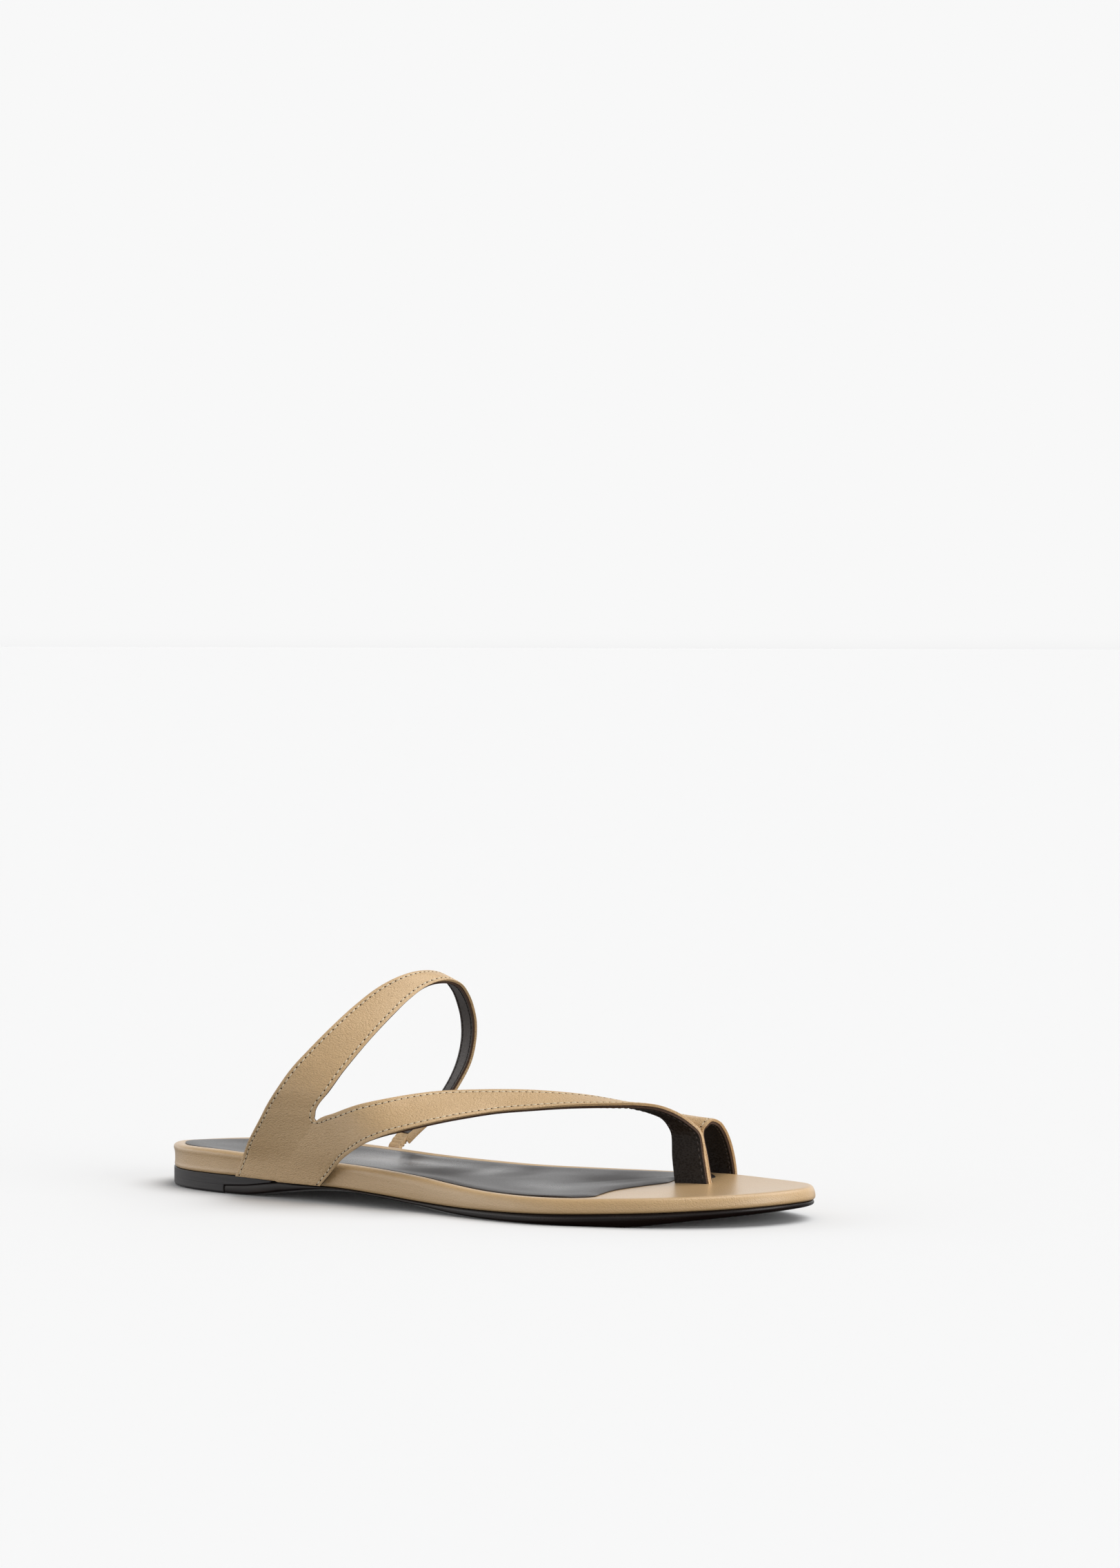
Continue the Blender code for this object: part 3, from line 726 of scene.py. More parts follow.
LIFT_LEATHER = SoleEdge("lift_leather", (0.026, 0.023, 0.024), (0.044, 0.040, 0.040), 0.40, 0.40, 0.4)
HEEL_RUBBER = SoleEdge("heel_rubber", (0.026, 0.023, 0.024), (0.044, 0.040, 0.040), 0.42, 0.42, 0.4)
CREAM_THREAD = Thread("cream_thread", (0.86, 0.77, 0.60), (0.66, 0.53, 0.35))
DARK_THREAD = Thread("dark_thread", (0.07, 0.052, 0.045), (0.02, 0.015, 0.013))
# Dark discs at the needle holes: painted shade in the holes.
NEEDLE_HOLE_SHADE = Thread("needle_hole_shade", (0.016, 0.010, 0.007), (0.008, 0.005, 0.004), 0.9)
FLOOR_WHITE = PaleGround("floor_white", (0.93, 0.93, 0.93))


# Meshes
def stand(name: str, data: bpy.types.ID) -> bpy.types.Object:
    """An object of the scene that holds some data."""
    made = bpy.data.objects.new(name, data)
    bpy.context.scene.collection.objects.link(made)
    return made


class Mold:
    """A bmesh in millimetres on its way to a finished piece."""

    def __init__(self) -> None:
        """Starts empty."""
        self.mesh = bmesh.new()

    def grid(self, columns: int, rows: int, place: Surface) -> None:
        """Adds a grid and lays it on a surface.

        Args:
            columns: faces across.
            rows: faces along.
            place: gives the points of arrays of places across and along, from 0 to 1.
        """
        made = bmesh.ops.create_grid(self.mesh, x_segments=columns, y_segments=rows, size=1.0)["verts"]
        flat = np.array([vertex.co for vertex in made])[:, :2]
        flat = (flat - flat.min(0)) / (flat.max(0) - flat.min(0))
        for vertex, point in zip(made, place(flat[:, 0], flat[:, 1])):
            vertex.co = point

    def skin(self, loops: Array) -> None:
        """Lays faces over closed loops, an array of loop, point and xyz."""
        count, size = loops.shape[:2]

        def place(across: Array, along: Array) -> Array:
            """Picks loop points."""
            return loops[np.rint(along * (count - 1)).astype(int), np.rint(across * size).astype(int) % size]

        self.grid(size, count - 1, place)

    def pour(self, other: Mold) -> None:
        """Takes over another mold's mesh and empties it."""
        batch = bpy.data.meshes.new("batch")
        other.mesh.to_mesh(batch)
        other.mesh.free()
        self.mesh.from_mesh(batch)
        bpy.data.meshes.remove(batch)

    def weld(self, distance: float = 0.004) -> None:
        """Joins vertices that lie together and turns the faces outwards."""
        bmesh.ops.remove_doubles(self.mesh, verts=self.mesh.verts, dist=distance)
        bmesh.ops.recalc_face_normals(self.mesh, faces=self.mesh.faces)

    def face(self, spot: Sequence[float], out: Sequence[float]) -> None:
        """Turns the faces of an open sheet.

        Args:
            spot: a place on the sheet.
            out: the side its faces have to show there.
        """
        self.mesh.normal_update()
        closest = min(self.mesh.verts, key=lambda vertex: (vertex.co - Vector(spot)).length)
        if closest.normal.dot(Vector(out)) < 0.0:
            bmesh.ops.reverse_faces(self.mesh, faces=self.mesh.faces)

    def finish(self, name: str, materials: Sequence[bpy.types.Material], slot: str,
               node: str | None = None) -> bpy.types.Object:
        """Makes the piece and sets it on the frame.

        Args:
            name: the piece's name.
            materials: its materials.
            slot: the record's material slot; not used.
            node: the CAD node it stands for, if any.

        Returns:
            The piece.
        """
        bmesh.ops.translate(self.mesh, vec=Vector(-SHIFT), verts=self.mesh.verts)
        bmesh.ops.scale(self.mesh, vec=(MM,) * 3, verts=self.mesh.verts)
        data = bpy.data.meshes.new(name)
        self.mesh.to_mesh(data)
        self.mesh.free()
        data.shade_smooth()
        piece = stand(name, data)
        for material in materials:
            data.materials.append(material)
        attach(piece, BODY)
        if node:
            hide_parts(node)
        LOG.info("%s: %d faces", name, len(data.polygons))
        return piece


def thicken(piece: bpy.types.Object, wall: float, edge: float, segments: int = 3) -> None:
    """Gives a sheet a wall towards its inner side and rounds its edges.

    Args:
        piece: the sheet, its faces turned outwards; a second material goes on its edges.
        wall: thickness in millimetres.
        edge: radius of the edges in millimetres.
        segments: faces over an edge.
    """
    solid = piece.modifiers.new("wall", "SOLIDIFY")
    solid.thickness = wall * MM
    solid.offset = -1.0
    solid.use_even_offset = True
    solid.use_quality_normals = True
    solid.material_offset_rim = len(piece.data.materials) - 1
    soft = piece.modifiers.new("edge", "BEVEL")
    soft.width = edge * MM
    soft.segments = segments
    soft.limit_method = "ANGLE"
    soft.angle_limit = EDGE_ANGLE
    soft.profile = HALF


# Sole
@dataclass
class Last:
    """The form the sole is built on: its outline and its heights."""

    toe: tuple[float, float] = (255.5, 14.5)
    per_span: int = 20
    rim_round: float = 2.2
    dish_run: float = 17.0
    gap: float = 0.12
    curve: Array = field(init=False)
    inward: Array = field(init=False)
    lateral: Array = field(init=False)
    medial: Array = field(init=False)

    def __post_init__(self) -> None:
        """Draws the outline: heel tip, outer side, toe tip, inner side."""
        outer = [(r.x, r.lateral) for r in OUTLINE]
        inner = [(r.x, r.medial) for r in reversed(OUTLINE)]
        self.curve = through([(0.0, 0.0), *outer, self.toe, *inner], self.per_span, closed=True)
        run = unit(np.roll(self.curve, -1, 0) - np.roll(self.curve, 1, 0))
        self.inward = np.stack([-run[:, 1], run[:, 0]], 1)
        self.lateral, self.medial = self.sides(self.curve)

    def sides(self, curve: Array) -> tuple[Array, Array]:
        """Splits a closed outline at its ends.

        Args:
            curve: the outline.

        Returns:
            The outer and the inner side, both heel to toe.
        """
        heel, toe = int(curve[:, 0].argmin()), int(curve[:, 0].argmax())
        order = np.roll(curve, -heel, 0)
        cut = (toe - heel) % len(curve)
        return order[:cut + 1], np.vstack([order[cut:], order[:1]])[::-1]

    def level(self, name: str, x: Array) -> Array:
        """One column of LEVELS at stations x."""
        rows = through([(r.x, getattr(r, name)) for r in LEVELS], TABLE_STEPS)
        return np.interp(x, rows[:, 0], rows[:, 1])

    def across(self, lateral: str, medial: str, x: Array, y: Array) -> Array:
        """Height between two columns of LEVELS by the place across the sole."""
        low = np.interp(x, *self.lateral.T)
        high = np.interp(x, *self.medial.T)
        part = np.clip((y - low) / np.maximum(high - low, 1.0), 0.0, 1.0)
        return self.level(lateral, x) * (1.0 - part) + self.level(medial, x) * part

    def under(self, x: Array, y: Array) -> Array:
        """Underside of the footbed."""
        return self.across("under_lateral", "under_medial", x, y)

    def rim(self, x: Array, y: Array) -> Array:
        """Height of the footbed's rim, carried across."""
        return self.across("rim_lateral", "rim_medial", x, y)

    def away(self, x: Array, y: Array) -> Array:
        """Distance from the outline."""
        return nearest(np.stack([x, y], 1), self.curve)

    def top(self, x: Array, y: Array) -> Array:
        """Dished top of the footbed inside its rounded rim."""
        inside = np.clip((self.away(x, y) - self.rim_round) / self.dish_run, 0.0, 1.0)
        return self.rim(x, y) - self.level("dish", x) * inside * (2.0 - inside)

    def seam(self, x: Array, y: Array) -> Array:
        """Seam under the heel lift."""
        return height_at(LIFT, x)

    def outsole_top(self, x: Array, y: Array) -> Array:
        """Top of the outsole: under the lift behind, under the footbed in front."""
        return np.minimum(self.seam(x, y), self.under(x, y)) - self.gap

    def ground(self, x: Array, y: Array) -> Array:
        """Underside of the outsole, lifted with the arch on the inner side."""
        arch = np.maximum(self.under(x, y) - self.level("under_lateral", x), 0.0)
        clear = np.maximum(self.level("ground", x), 0.0)
        return clear + arch * np.minimum(clear, 1.0)


@dataclass
class Layer:
    """A stretch of the sole between two stations, as loops and caps."""

    last: Last
    start: float = -math.inf
    stop: float = math.inf
    half: int = 240
    columns: int = 36

    def chain(self, inset: Array | float) -> Array:
        """Plan points from one cut, round an end of the sole, to the other cut.

        Args:
            inset: how far in from the outline, one number or one for each outline point.

        Returns:
            The points, the outer side first.
        """
        shrink = np.broadcast_to(np.asarray(inset, float), len(self.last.curve))
        sides = []
        for side in self.last.sides(self.last.curve + self.last.inward * shrink[:, None]):
            low, high = max(self.start, side[0, 0]), min(self.stop, side[-1, 0])
            keep = side[(side[:, 0] > low) & (side[:, 0] < high)]
            first = [low, np.interp(low, *side.T)] if low > side[0, 0] else side[0]
            final = [high, np.interp(high, *side.T)] if high < side[-1, 0] else side[-1]
            sides.append(spread(np.vstack([first, keep, final]), self.half + 1))
        outer, inner = sides
        if math.isfinite(self.stop):
            return np.vstack([outer[::-1], inner[1:]])
        return np.vstack([outer, inner[-2::-1]])

    def loop(self, inset: Array | float, heights: Heights) -> Array:
        """A closed loop at the given heights, with the straight cut divided for the cap."""
        plan = self.chain(inset)
        part = np.linspace(0.0, 1.0, self.columns + 1)[1:-1, None]
        plan = np.vstack([plan, plan[-1] * (1.0 - part) + plan[0] * part])
        return np.column_stack([plan, heights(plan[:, 0], plan[:, 1])])

    def cap(self, mold: Mold, inset: Array | float, heights: Heights) -> None:
        """Closes a layer over or under with a grid from side to side."""
        plan = self.chain(inset)

        def place(across: Array, along: Array) -> Array:
            """Points between the two sides."""
            row = np.rint(along * self.half).astype(int)
            spot = blend(plan[row], plan[2 * self.half - row], across)
            return np.column_stack([spot, heights(spot[:, 0], spot[:, 1])])

        mold.grid(self.columns, self.half, place)

    def solid(self, rings: Sequence[Ring]) -> Mold:
        """A closed body over loops, capped at the first and the last.

        Args:
            rings: inset and heights of each loop, from below.

        Returns:
            The mold that holds it.
        """
        mold = Mold()
        mold.skin(np.array([self.loop(*ring) for ring in rings]))
        for ring in (rings[0], rings[-1]):
            self.cap(mold, *ring)
        mold.weld()
        return mold


@dataclass
class Footbed:
    """Midsole wrapped in beige leather: hollowed wall behind, full wall in front, rounded rim, dished top."""

    last: Last
    steps: int = 4
    wall: float = 8.0
    shelf: tuple[float, ...] = (4.6, 6.0, 8.0)
    rear: tuple[Turn, ...] = (
        Turn(13.0, 0.0),
        Turn(1.5, 0.0),
        Turn(0.7, 0.0, 0.2),
        Turn(0.34, 0.06, 0.4, 0.2),
        Turn(0.16, 0.22, 0.2, 1.0),
        Turn(0.08, 0.42, 0.0, 1.2),
        Turn(0.1, 0.94, -2.1, 0.65),
        Turn(0.04, 0.97, -1.55, 0.2),
        Turn(0.14, 1.0, -1.1),
        Turn(0.46, 1.0, -0.64),
        Turn(1.0, 1.0, -0.31),
        Turn(1.8, 1.0, -0.09),
        Turn(2.9, 1.0, -0.01),
    )
    front: tuple[Turn, ...] = (
        Turn(13.0, 0.0),
        Turn(1.5, 0.0),
        Turn(0.7, 0.0, 0.2),
        Turn(0.3, 0.05, 0.2),
        Turn(0.06, 0.15),
        Turn(0.0, 0.28),
        Turn(0.14, 0.46),
        Turn(0.34, 0.62),
        Turn(0.62, 0.76),
        Turn(1.02, 0.88),
        Turn(1.6, 0.955),
        Turn(2.4, 0.99),
        Turn(3.3, 1.0),
    )
    hollow: tuple[Mark, ...] = (Mark(0.0, 0.4), Mark(60.0, 0.35), Mark(115.0, 0.1), Mark(160.0, 0.0))
    change: tuple[Mark, ...] = (Mark(60.0, 0.0), Mark(100.0, 0.3), Mark(140.0, 0.7), Mark(180.0, 1.0))

    def build(self) -> bpy.types.Object:
        """Makes the piece."""
        last = self.last
        hollow, ahead = (height_at(marks, last.curve[:, 0]) for marks in (self.hollow, self.change))

        def heights(rear: Turn, front: Turn) -> Heights:
            """Heights of one loop."""
            def height(x: Array, y: Array) -> Array:
                """Share of the wall, less the rounding."""
                wall = last.rim(x, y) - last.under(x, y)
                low, high = (wall * (turn.share + turn.over / self.wall) for turn in (rear, front))
                return last.under(x, y) + low + (high - low) * height_at(self.change, x)

            return height

        sections = [[Turn(*row) for row in through(turns, self.steps)] for turns in (self.rear, self.front)]
        rings = []
        for rear, front in zip(*sections):
            inset = rear.inset + rear.hollow * hollow
            rings.append((inset + (front.inset - inset) * ahead, heights(rear, front)))
        rings += [(inset, last.top) for inset in self.shelf]
        mold = Layer(last).solid(rings)
        return mold.finish("footbed_wrap", [WRAP_LEATHER.material()], "beige_leather", "footbed")


@dataclass
class Dent:
    """A soft trough or ridge in the sock: middle, reach along and across, heading, and depth."""

    x: float
    y: float
    along: float
    across: float
    heading: float
    depth: float

    def height(self, x: Array, y: Array) -> Array:
        """Height it adds at places of the sock."""
        turn = math.radians(self.heading)
        forth = (x - self.x) * math.cos(turn) + (y - self.y) * math.sin(turn)
        aside = (y - self.y) * math.cos(turn) - (x - self.x) * math.sin(turn)
        return self.depth * bell(forth, self.along) * bell(aside, self.across)


@dataclass
class Sock:
    """Dark insole leather with a shaped front edge and soft dents, its edge sunk into the footbed."""

    last: Last
    inset: float = 4.4
    tip: float = 0.05
    square: float = 150.0
    corners: tuple[float, float] = (-36.0, 38.6)
    wall: float = 1.05
    wall_edge: float = 0.25
    middle: Point = (100.0, 0.0, 12.0)
    edge: float = 0.42
    sunk: float = 0.32
    full: float = 0.7
    run: float = 5.0
    along: int = 190
    across: int = 64
    square_share: float = 0.74
    dents: tuple[Dent, ...] = (
        Dent(172.0, 2.0, 7.0, 26.0, 0.0, -0.28),
        Dent(153.0, -4.0, 12.0, 24.0, 0.0, 0.20),
        Dent(186.0, -12.0, 6.0, 16.0, -8.0, 0.16),
        Dent(188.0, 12.0, 18.0, 2.6, 52.0, 0.14),
        Dent(183.0, 14.0, 18.0, 2.2, 52.0, -0.12),
        Dent(120.0, 2.0, 20.0, 18.0, 0.0, -0.12),
        Dent(70.0, 4.0, 26.0, 14.0, 4.0, 0.12),
    )

    def plan(self, across: Array, along: Array) -> tuple[Array, Array]:
        """Plan points of the sock: straight sections behind, bent ones up to the front edge.

        Args:
            across: place from the outer to the inner edge.
            along: place from heel to front.

        Returns:
            The points, and how far each is from the front edge.
        """
        outer, inner = self.last.sides(self.last.curve + self.last.inward * self.inset)
        front = through(SOCK_FRONT, TABLE_STEPS)
        begin = outer[0, 0] + self.tip
        turn = np.clip(along / self.square_share, 0.0, 1.0) * math.pi / 2
        ahead = np.clip((along - self.square_share) / (1.0 - self.square_share), 0.0, 1.0)
        end_y = self.corners[0] + (self.corners[1] - self.corners[0]) * across
        end_x = np.interp(end_y, *front.T)
        x = begin + (self.square - begin) * (1.0 - np.cos(turn)) + (end_x - self.square) * ahead
        low, high = np.interp(x, *outer.T), np.interp(x, *inner.T)
        y = low + (high - low) * across
        return np.stack([x, y + (end_y - y) * ahead ** 3], 1), end_x - x

    def build(self) -> bpy.types.Object:
        """Makes the piece."""
        mold = Mold()

        def place(across: Array, along: Array) -> Array:
            """Points of the upper side."""
            spot, left = self.plan(across, along)
            x, y = spot.T
            inside = np.minimum(self.last.away(x, y) - self.inset, left)
            rise = np.clip(inside / self.run, 0.0, 1.0)
            lift = self.edge - self.sunk * across ** 2 + self.full * rise * (2.0 - rise)
            press = sum(dent.height(x, y) for dent in self.dents)
            return np.column_stack([spot, self.last.top(x, y) + lift + press * rise])

        mold.grid(self.across, self.along, place)
        mold.face(self.middle, STRAIGHT_UP)
        piece = mold.finish("sock_sheet", [SOCK_LEATHER.material()], "sock_leather", "sock")
        thicken(piece, self.wall, self.wall_edge)
        return piece


@dataclass
class Outsole:
    """Dark leather outsole in front of the heel joint, its edge rounded, bevelled under the waist."""

    last: Last
    joint: float = 38.2
    inset: float = 0.45
    least: float = 0.15
    core: float = 9.0
    foot: float = 0.3
    foot_rise: float = 0.03
    bevel_middle: float = 0.45
    bevel_rise: float = 0.6
    shelf: float = 1.4
    edge: tuple[Turn, ...] = (
        Turn(0.32, 0.0),
        Turn(0.1, 0.18),
        Turn(0.0, 0.42),
        Turn(0.04, 0.7),
        Turn(0.18, 0.9),
        Turn(0.45, 1.0),
    )

    def build(self) -> bpy.types.Object:
        """Makes the piece."""
        last = self.last
        bevel = last.level("bevel", last.curve[:, 0])

        def low_edge(x: Array, y: Array) -> Array:
            """Height where the edge turns into the bevel."""
            return np.maximum(last.outsole_top(x, y) - last.level("edge", x), last.ground(x, y) + self.least)

        def between(low: Heights, high: Heights, share: float) -> Heights:
            """Heights part of the way from one to another."""
            return lambda x, y: low(x, y) * (1.0 - share) + high(x, y) * share

        mold = Layer(last, start=self.joint).solid([
            (self.inset + bevel + self.core, last.ground),
            (self.inset + bevel + self.foot, last.ground),
            (self.inset + bevel, lambda x, y: last.ground(x, y) + self.foot_rise),
            (self.inset + bevel * self.bevel_middle, between(last.ground, low_edge, self.bevel_rise)),
            *((self.inset + turn.inset, between(low_edge, last.outsole_top, turn.share))
              for turn in self.edge),
            (self.inset + self.shelf, last.outsole_top),
            (self.core, last.outsole_top),
        ])
        return mold.finish("outsole_edge", [SOLE_LEATHER.material()], "dark_leather", "outsole")


@dataclass
class Heel:
    """Low heel: rubber top piece behind the joint and the tapering lift over it."""

    last: Last
    joint: float = 38.0
    lift_end: float = 60.0
    inset: float = 0.25
    core: float = 9.0
    corner: float = 0.015
    border: float = 0.14
    top_foot: float = 0.9
    lift_foot: float = 0.03
    foot_turn: float = 0.3
    seam_gap: float = 0.02
    footbed_gap: float = 0.15
    least: float = 0.05

    def stack(self, stop: float, low: Heights, high: Heights, foot: float) -> Mold:
        """Makes the body of one of the two layers.

        Args:
            stop: station of its front end.
            low: heights of its underside.
            high: heights of its top.
            foot: how far its lower edge is rounded.

        Returns:
            The mold that holds it.
        """
        def over(rise: float) -> Heights:
            """Heights above the underside."""
            return lambda x, y: np.minimum(low(x, y) + rise, high(x, y))

        def below(drop: float) -> Heights:
            """Heights below the top."""
            return lambda x, y: np.maximum(high(x, y) - drop, low(x, y))

        turn = foot * self.foot_turn
        return Layer(self.last, stop=stop).solid([
            (self.inset + self.core, low),
            (self.inset + foot, low),
            (self.inset + turn, over(turn)),
            (self.inset, over(foot)),
            (self.inset, over(foot + self.border)),
            (self.inset, below(self.corner + self.border)),
            (self.inset, below(self.corner)),
            (self.inset + self.corner, high),
            (self.inset + self.core, high),
        ])

    def build(self) -> list[bpy.types.Object]:
        """Makes both layers."""
        last = self.last

        def floor(x: Array, y: Array) -> Array:
            """The floor."""
            return np.zeros_like(x)

        def under_seam(x: Array, y: Array) -> Array:
            """Top of the top piece."""
            return last.seam(x, y) - self.seam_gap

        def under_footbed(x: Array, y: Array) -> Array:
            """Top of the lift."""
            return np.maximum(last.under(x, y) - self.footbed_gap, last.seam(x, y) + self.least)

        top = self.stack(self.joint, floor, under_seam, self.top_foot)
        lift = self.stack(self.lift_end, last.seam, under_footbed, self.lift_foot)
        return [
            top.finish("heel_top", [HEEL_RUBBER.material()], "heel_rubber", "heel_top_piece"),
            lift.finish("heel_lift", [LIFT_LEATHER.material()], "dark_leather", "heel_wedge"),
        ]


# Straps
@dataclass
class Ribbon:
    """A strap as a ladder of rungs with a surface over it."""

    rungs: Sequence[Rung]
    per_span: int = 10
    usual_width: float = 9.0
    back: Array = field(init=False)
    front: Array = field(init=False)
    back_run: Array = field(init=False)
    front_run: Array = field(init=False)

    def __post_init__(self) -> None:
        """Draws both edges."""
        self.back = through([r.back for r in self.rungs], self.per_span)
        self.front = through([r.front for r in self.rungs], self.per_span)
        self.back_run = np.gradient(self.back, axis=0)
        self.front_run = np.gradient(self.front, axis=0)

    @property
    def rows(self) -> int:
        """Faces along the strap."""
        return len(self.back) - 1

    def at(self, table: Array, along: Array) -> Array:
        """Rows of a table at places along the strap, from 0 to 1."""
        spot = np.arange(len(table)) / (len(table) - 1)
        return np.stack([np.interp(along, spot, column) for column in table.T], 1)

    def width(self, along: Array) -> Array:
        """Breadth of the strap."""
        return np.linalg.norm(self.at(self.front, along) - self.at(self.back, along), axis=1)

    def margin(self, inset: Array | float, along: Array) -> Array:
        """Share of the breadth that an inset takes, less where the strap is narrow."""
        width = self.width(along)
        return inset * np.minimum(1.0, width / self.usual_width) / width

    def normal(self, across: Array, along: Array) -> Array:
        """Unit normals to the outer side."""
        over = self.at(self.front, along) - self.at(self.back, along)
        run = blend(self.at(self.back_run, along), self.at(self.front_run, along), across)
        return unit(np.cross(over, run))

    def lay(self, across: Array, along: Array, height: Array | float = 0.0,
            inset: float = 0.0) -> Array:
        """Points on or over the strap.

        Args:
            across: places from the back to the front edge, 0 to 1.
            along: places along the strap, 0 to 1.
            height: distance over the outer face.
            inset: how far both edges are drawn in, in millimetres.

        Returns:
            The points.
        """
        trim = self.margin(inset, along)
        place = trim + across * (1.0 - 2.0 * trim)
        flat = blend(self.at(self.back, along), self.at(self.front, along), place)
        over = np.broadcast_to(np.asarray(height, float), len(along))
        return flat + self.normal(place, along) * over[:, None]

    def face(self, mold: Mold, along: float = HALF, height: float = 0.0) -> None:
        """Turns the faces of an open sheet to the strap's outer side.

        Args:
            mold: the sheet.
            along: place along the strap where they are judged.
            height: the sheet's distance over the outer face.
        """
        across, spot = np.array([HALF]), np.array([along])
        mold.face(self.lay(across, spot, height)[0], self.normal(across, spot)[0])

    def sheet(self, columns: int, rows: int, place: Surface) -> Mold:
        """An open sheet over the strap, its faces turned outwards.

        Args:
            columns: faces across.
            rows: faces along.
            place: gives its points.

        Returns:
            The mold that holds it.
        """
        mold = Mold()
        mold.grid(columns, rows, place)
        self.face(mold)
        return mold

    def line(self, side: Side, inset: float, start: float, stop: float, count: int = 1) -> Array:
        """Points along one edge, drawn in from it.

        Args:
            side: which edge.
            inset: distance from it in millimetres.
            start: first row.
            stop: last row.
            count: how many points.

        Returns:
            Points and unit normals, six columns.
        """
        along = np.linspace(start, stop, count) / self.rows
        across = self.margin(inset, along)
        if side is Side.FRONT:
            across = 1.0 - across
        return np.column_stack([self.lay(across, along), self.normal(across, along)])


@dataclass
class Straps:
    """The upper: outer leather and lining of base, fork, instep strap, forward strap, thong and loop."""

    skin: float = 0.95
    skin_edge: float = 0.36
    lining: float = 1.1
    lining_edge: float = 0.22
    lining_inset: float = 0.6
    edge_steps: tuple[float, ...] = (0.0, 0.25, 0.7, 1.2, 1.7, 2.2, 2.8, 3.6)
    middle: int = 8
    face_spot: float = 0.4
    stitch_inset: float = 1.7
    seam_start: float = 1.0
    seam_end: float = 2.0
    seam_steps: int = 400
    loop_start: float = 14.0
    loop_steps: int = 200
    bend_start: float = 10.0
    bend_end: float = 3.0
    bend_steps: int = 60
    bend_span: int = 6
    thong_share: float = 0.9
    bend: tuple[Needle, ...] = (
        Needle(Side.FRONT, 0.98, 5.0),
        Needle(Side.FRONT, 0.9, 0.0),
        Needle(Side.FRONT, 0.5, -1.2),
        Needle(Side.BACK, 0.0, -1.3),
        Needle(Side.BACK, 0.85, 0.6),
    )
    trough: float = 0.16
    trough_width: float = 0.45
    crown: float = 0.12
    crown_run: float = 6.0
    edge_drop: float = 0.18
    edge_run: float = 0.9
    notch_cuts: int = 4
    notch_depth: float = 0.65
    notch_run: float = 2.2
    rung_gap: float = 11.5
    samples: int = 700
    instep: Ribbon = field(init=False)
    forward: Ribbon = field(init=False)
    loop: Ribbon = field(init=False)

    def __post_init__(self) -> None:
        """Lays out the three straps."""
        self.instep = Ribbon([Rung(r.back, r.fork) for r in BASE] + list(INSTEP))
        notched = [Rung(tuple(a + b for a, b in zip(r.fork, NOTCH)), r.front) for r in BASE]
        self.forward = Ribbon([*notched, *FORWARD, *THONG_LATERAL])
        self.loop = Ribbon([*THONG_MEDIAL, *LOOP])

    @property
    def fork_row(self) -> int:
        """Row of faces where the fork begins."""
        return (len(BASE) - 1) * self.instep.per_span

    @property
    def columns(self) -> int:
        """Faces across a strap."""
        return 2 * (len(self.edge_steps) - 1) + self.middle

    def seams(self) -> list[Array]:
        """Stitch lines as points with normals.

        Returns:
            One table for each line.
        """
        inset, fork = self.stitch_inset, self.fork_row
        instep, forward, loop = self.instep, self.forward, self.loop

        def edge(ribbon: Ribbon, side: Side, start: float, count: int) -> Array:
            """The line along one edge of a strap."""
            return ribbon.line(side, inset, start, ribbon.rows - self.seam_end, count)

        end = instep.rows - self.seam_end
        bend = [instep.line(Side.FRONT, inset, end, fork + self.bend_start, self.bend_steps)]
        for needle in self.bend:
            ribbon = instep if needle.side is Side.FRONT else forward
            row = fork + needle.past
            bend.append(ribbon.line(needle.side, inset * needle.share, row, row))
        end = forward.rows * self.thong_share
        bend.append(forward.line(Side.BACK, inset, fork + self.bend_end, end, self.bend_steps))
        return [
            edge(instep, Side.BACK, self.seam_start, self.seam_steps),
            through(np.vstack(bend), self.bend_span),
            edge(forward, Side.FRONT, self.seam_start, self.seam_steps),
            *(edge(loop, side, self.loop_start, self.loop_steps) for side in Side),
        ]

    def spaced(self, ribbon: Ribbon, across: Array, along: Array) -> Array:
        """Places across a strap with columns close together along the stitch lines.

        Args:
            ribbon: the strap.
            across: even places, 0 to 1.
            along: places along the strap.

        Returns:
            The new places.
        """
        count = len(self.edge_steps) - 1
        column = across * self.columns
        near = np.interp(np.minimum(column, self.columns - column), np.arange(count + 1), self.edge_steps)
        edge = ribbon.margin(near, along)
        last = ribbon.margin(self.edge_steps[-1], along)
        inner = last + (column - count) / self.middle * (1.0 - 2.0 * last)
        place = np.where(column > self.columns / 2, 1.0 - edge, edge)
        return np.where((column > count) & (column < self.columns - count), inner, place)

    def sheet(self, height: float, inset: float) -> Mold:
        """One side of all straps as an open sheet, its faces turned outwards.

        Args:
            height: distance over the outer face.
            inset: how far the edges are drawn in.

        Returns:
            The mold that holds it.
        """
        mold = Mold()
        for ribbon in (self.instep, self.forward, self.loop):
            def place(across: Array, along: Array, ribbon: Ribbon = ribbon) -> Array:
                """Points of one strap."""
                return ribbon.lay(self.spaced(ribbon, across, along), along, height, inset)

            mold.grid(self.columns, ribbon.rows, place)
        mold.grid(self.notch_cuts, self.fork_row, lambda v, u: self.below_fork(v, u, height, inset))
        mold.weld()
        self.instep.face(mold, self.face_spot, height)
        return mold

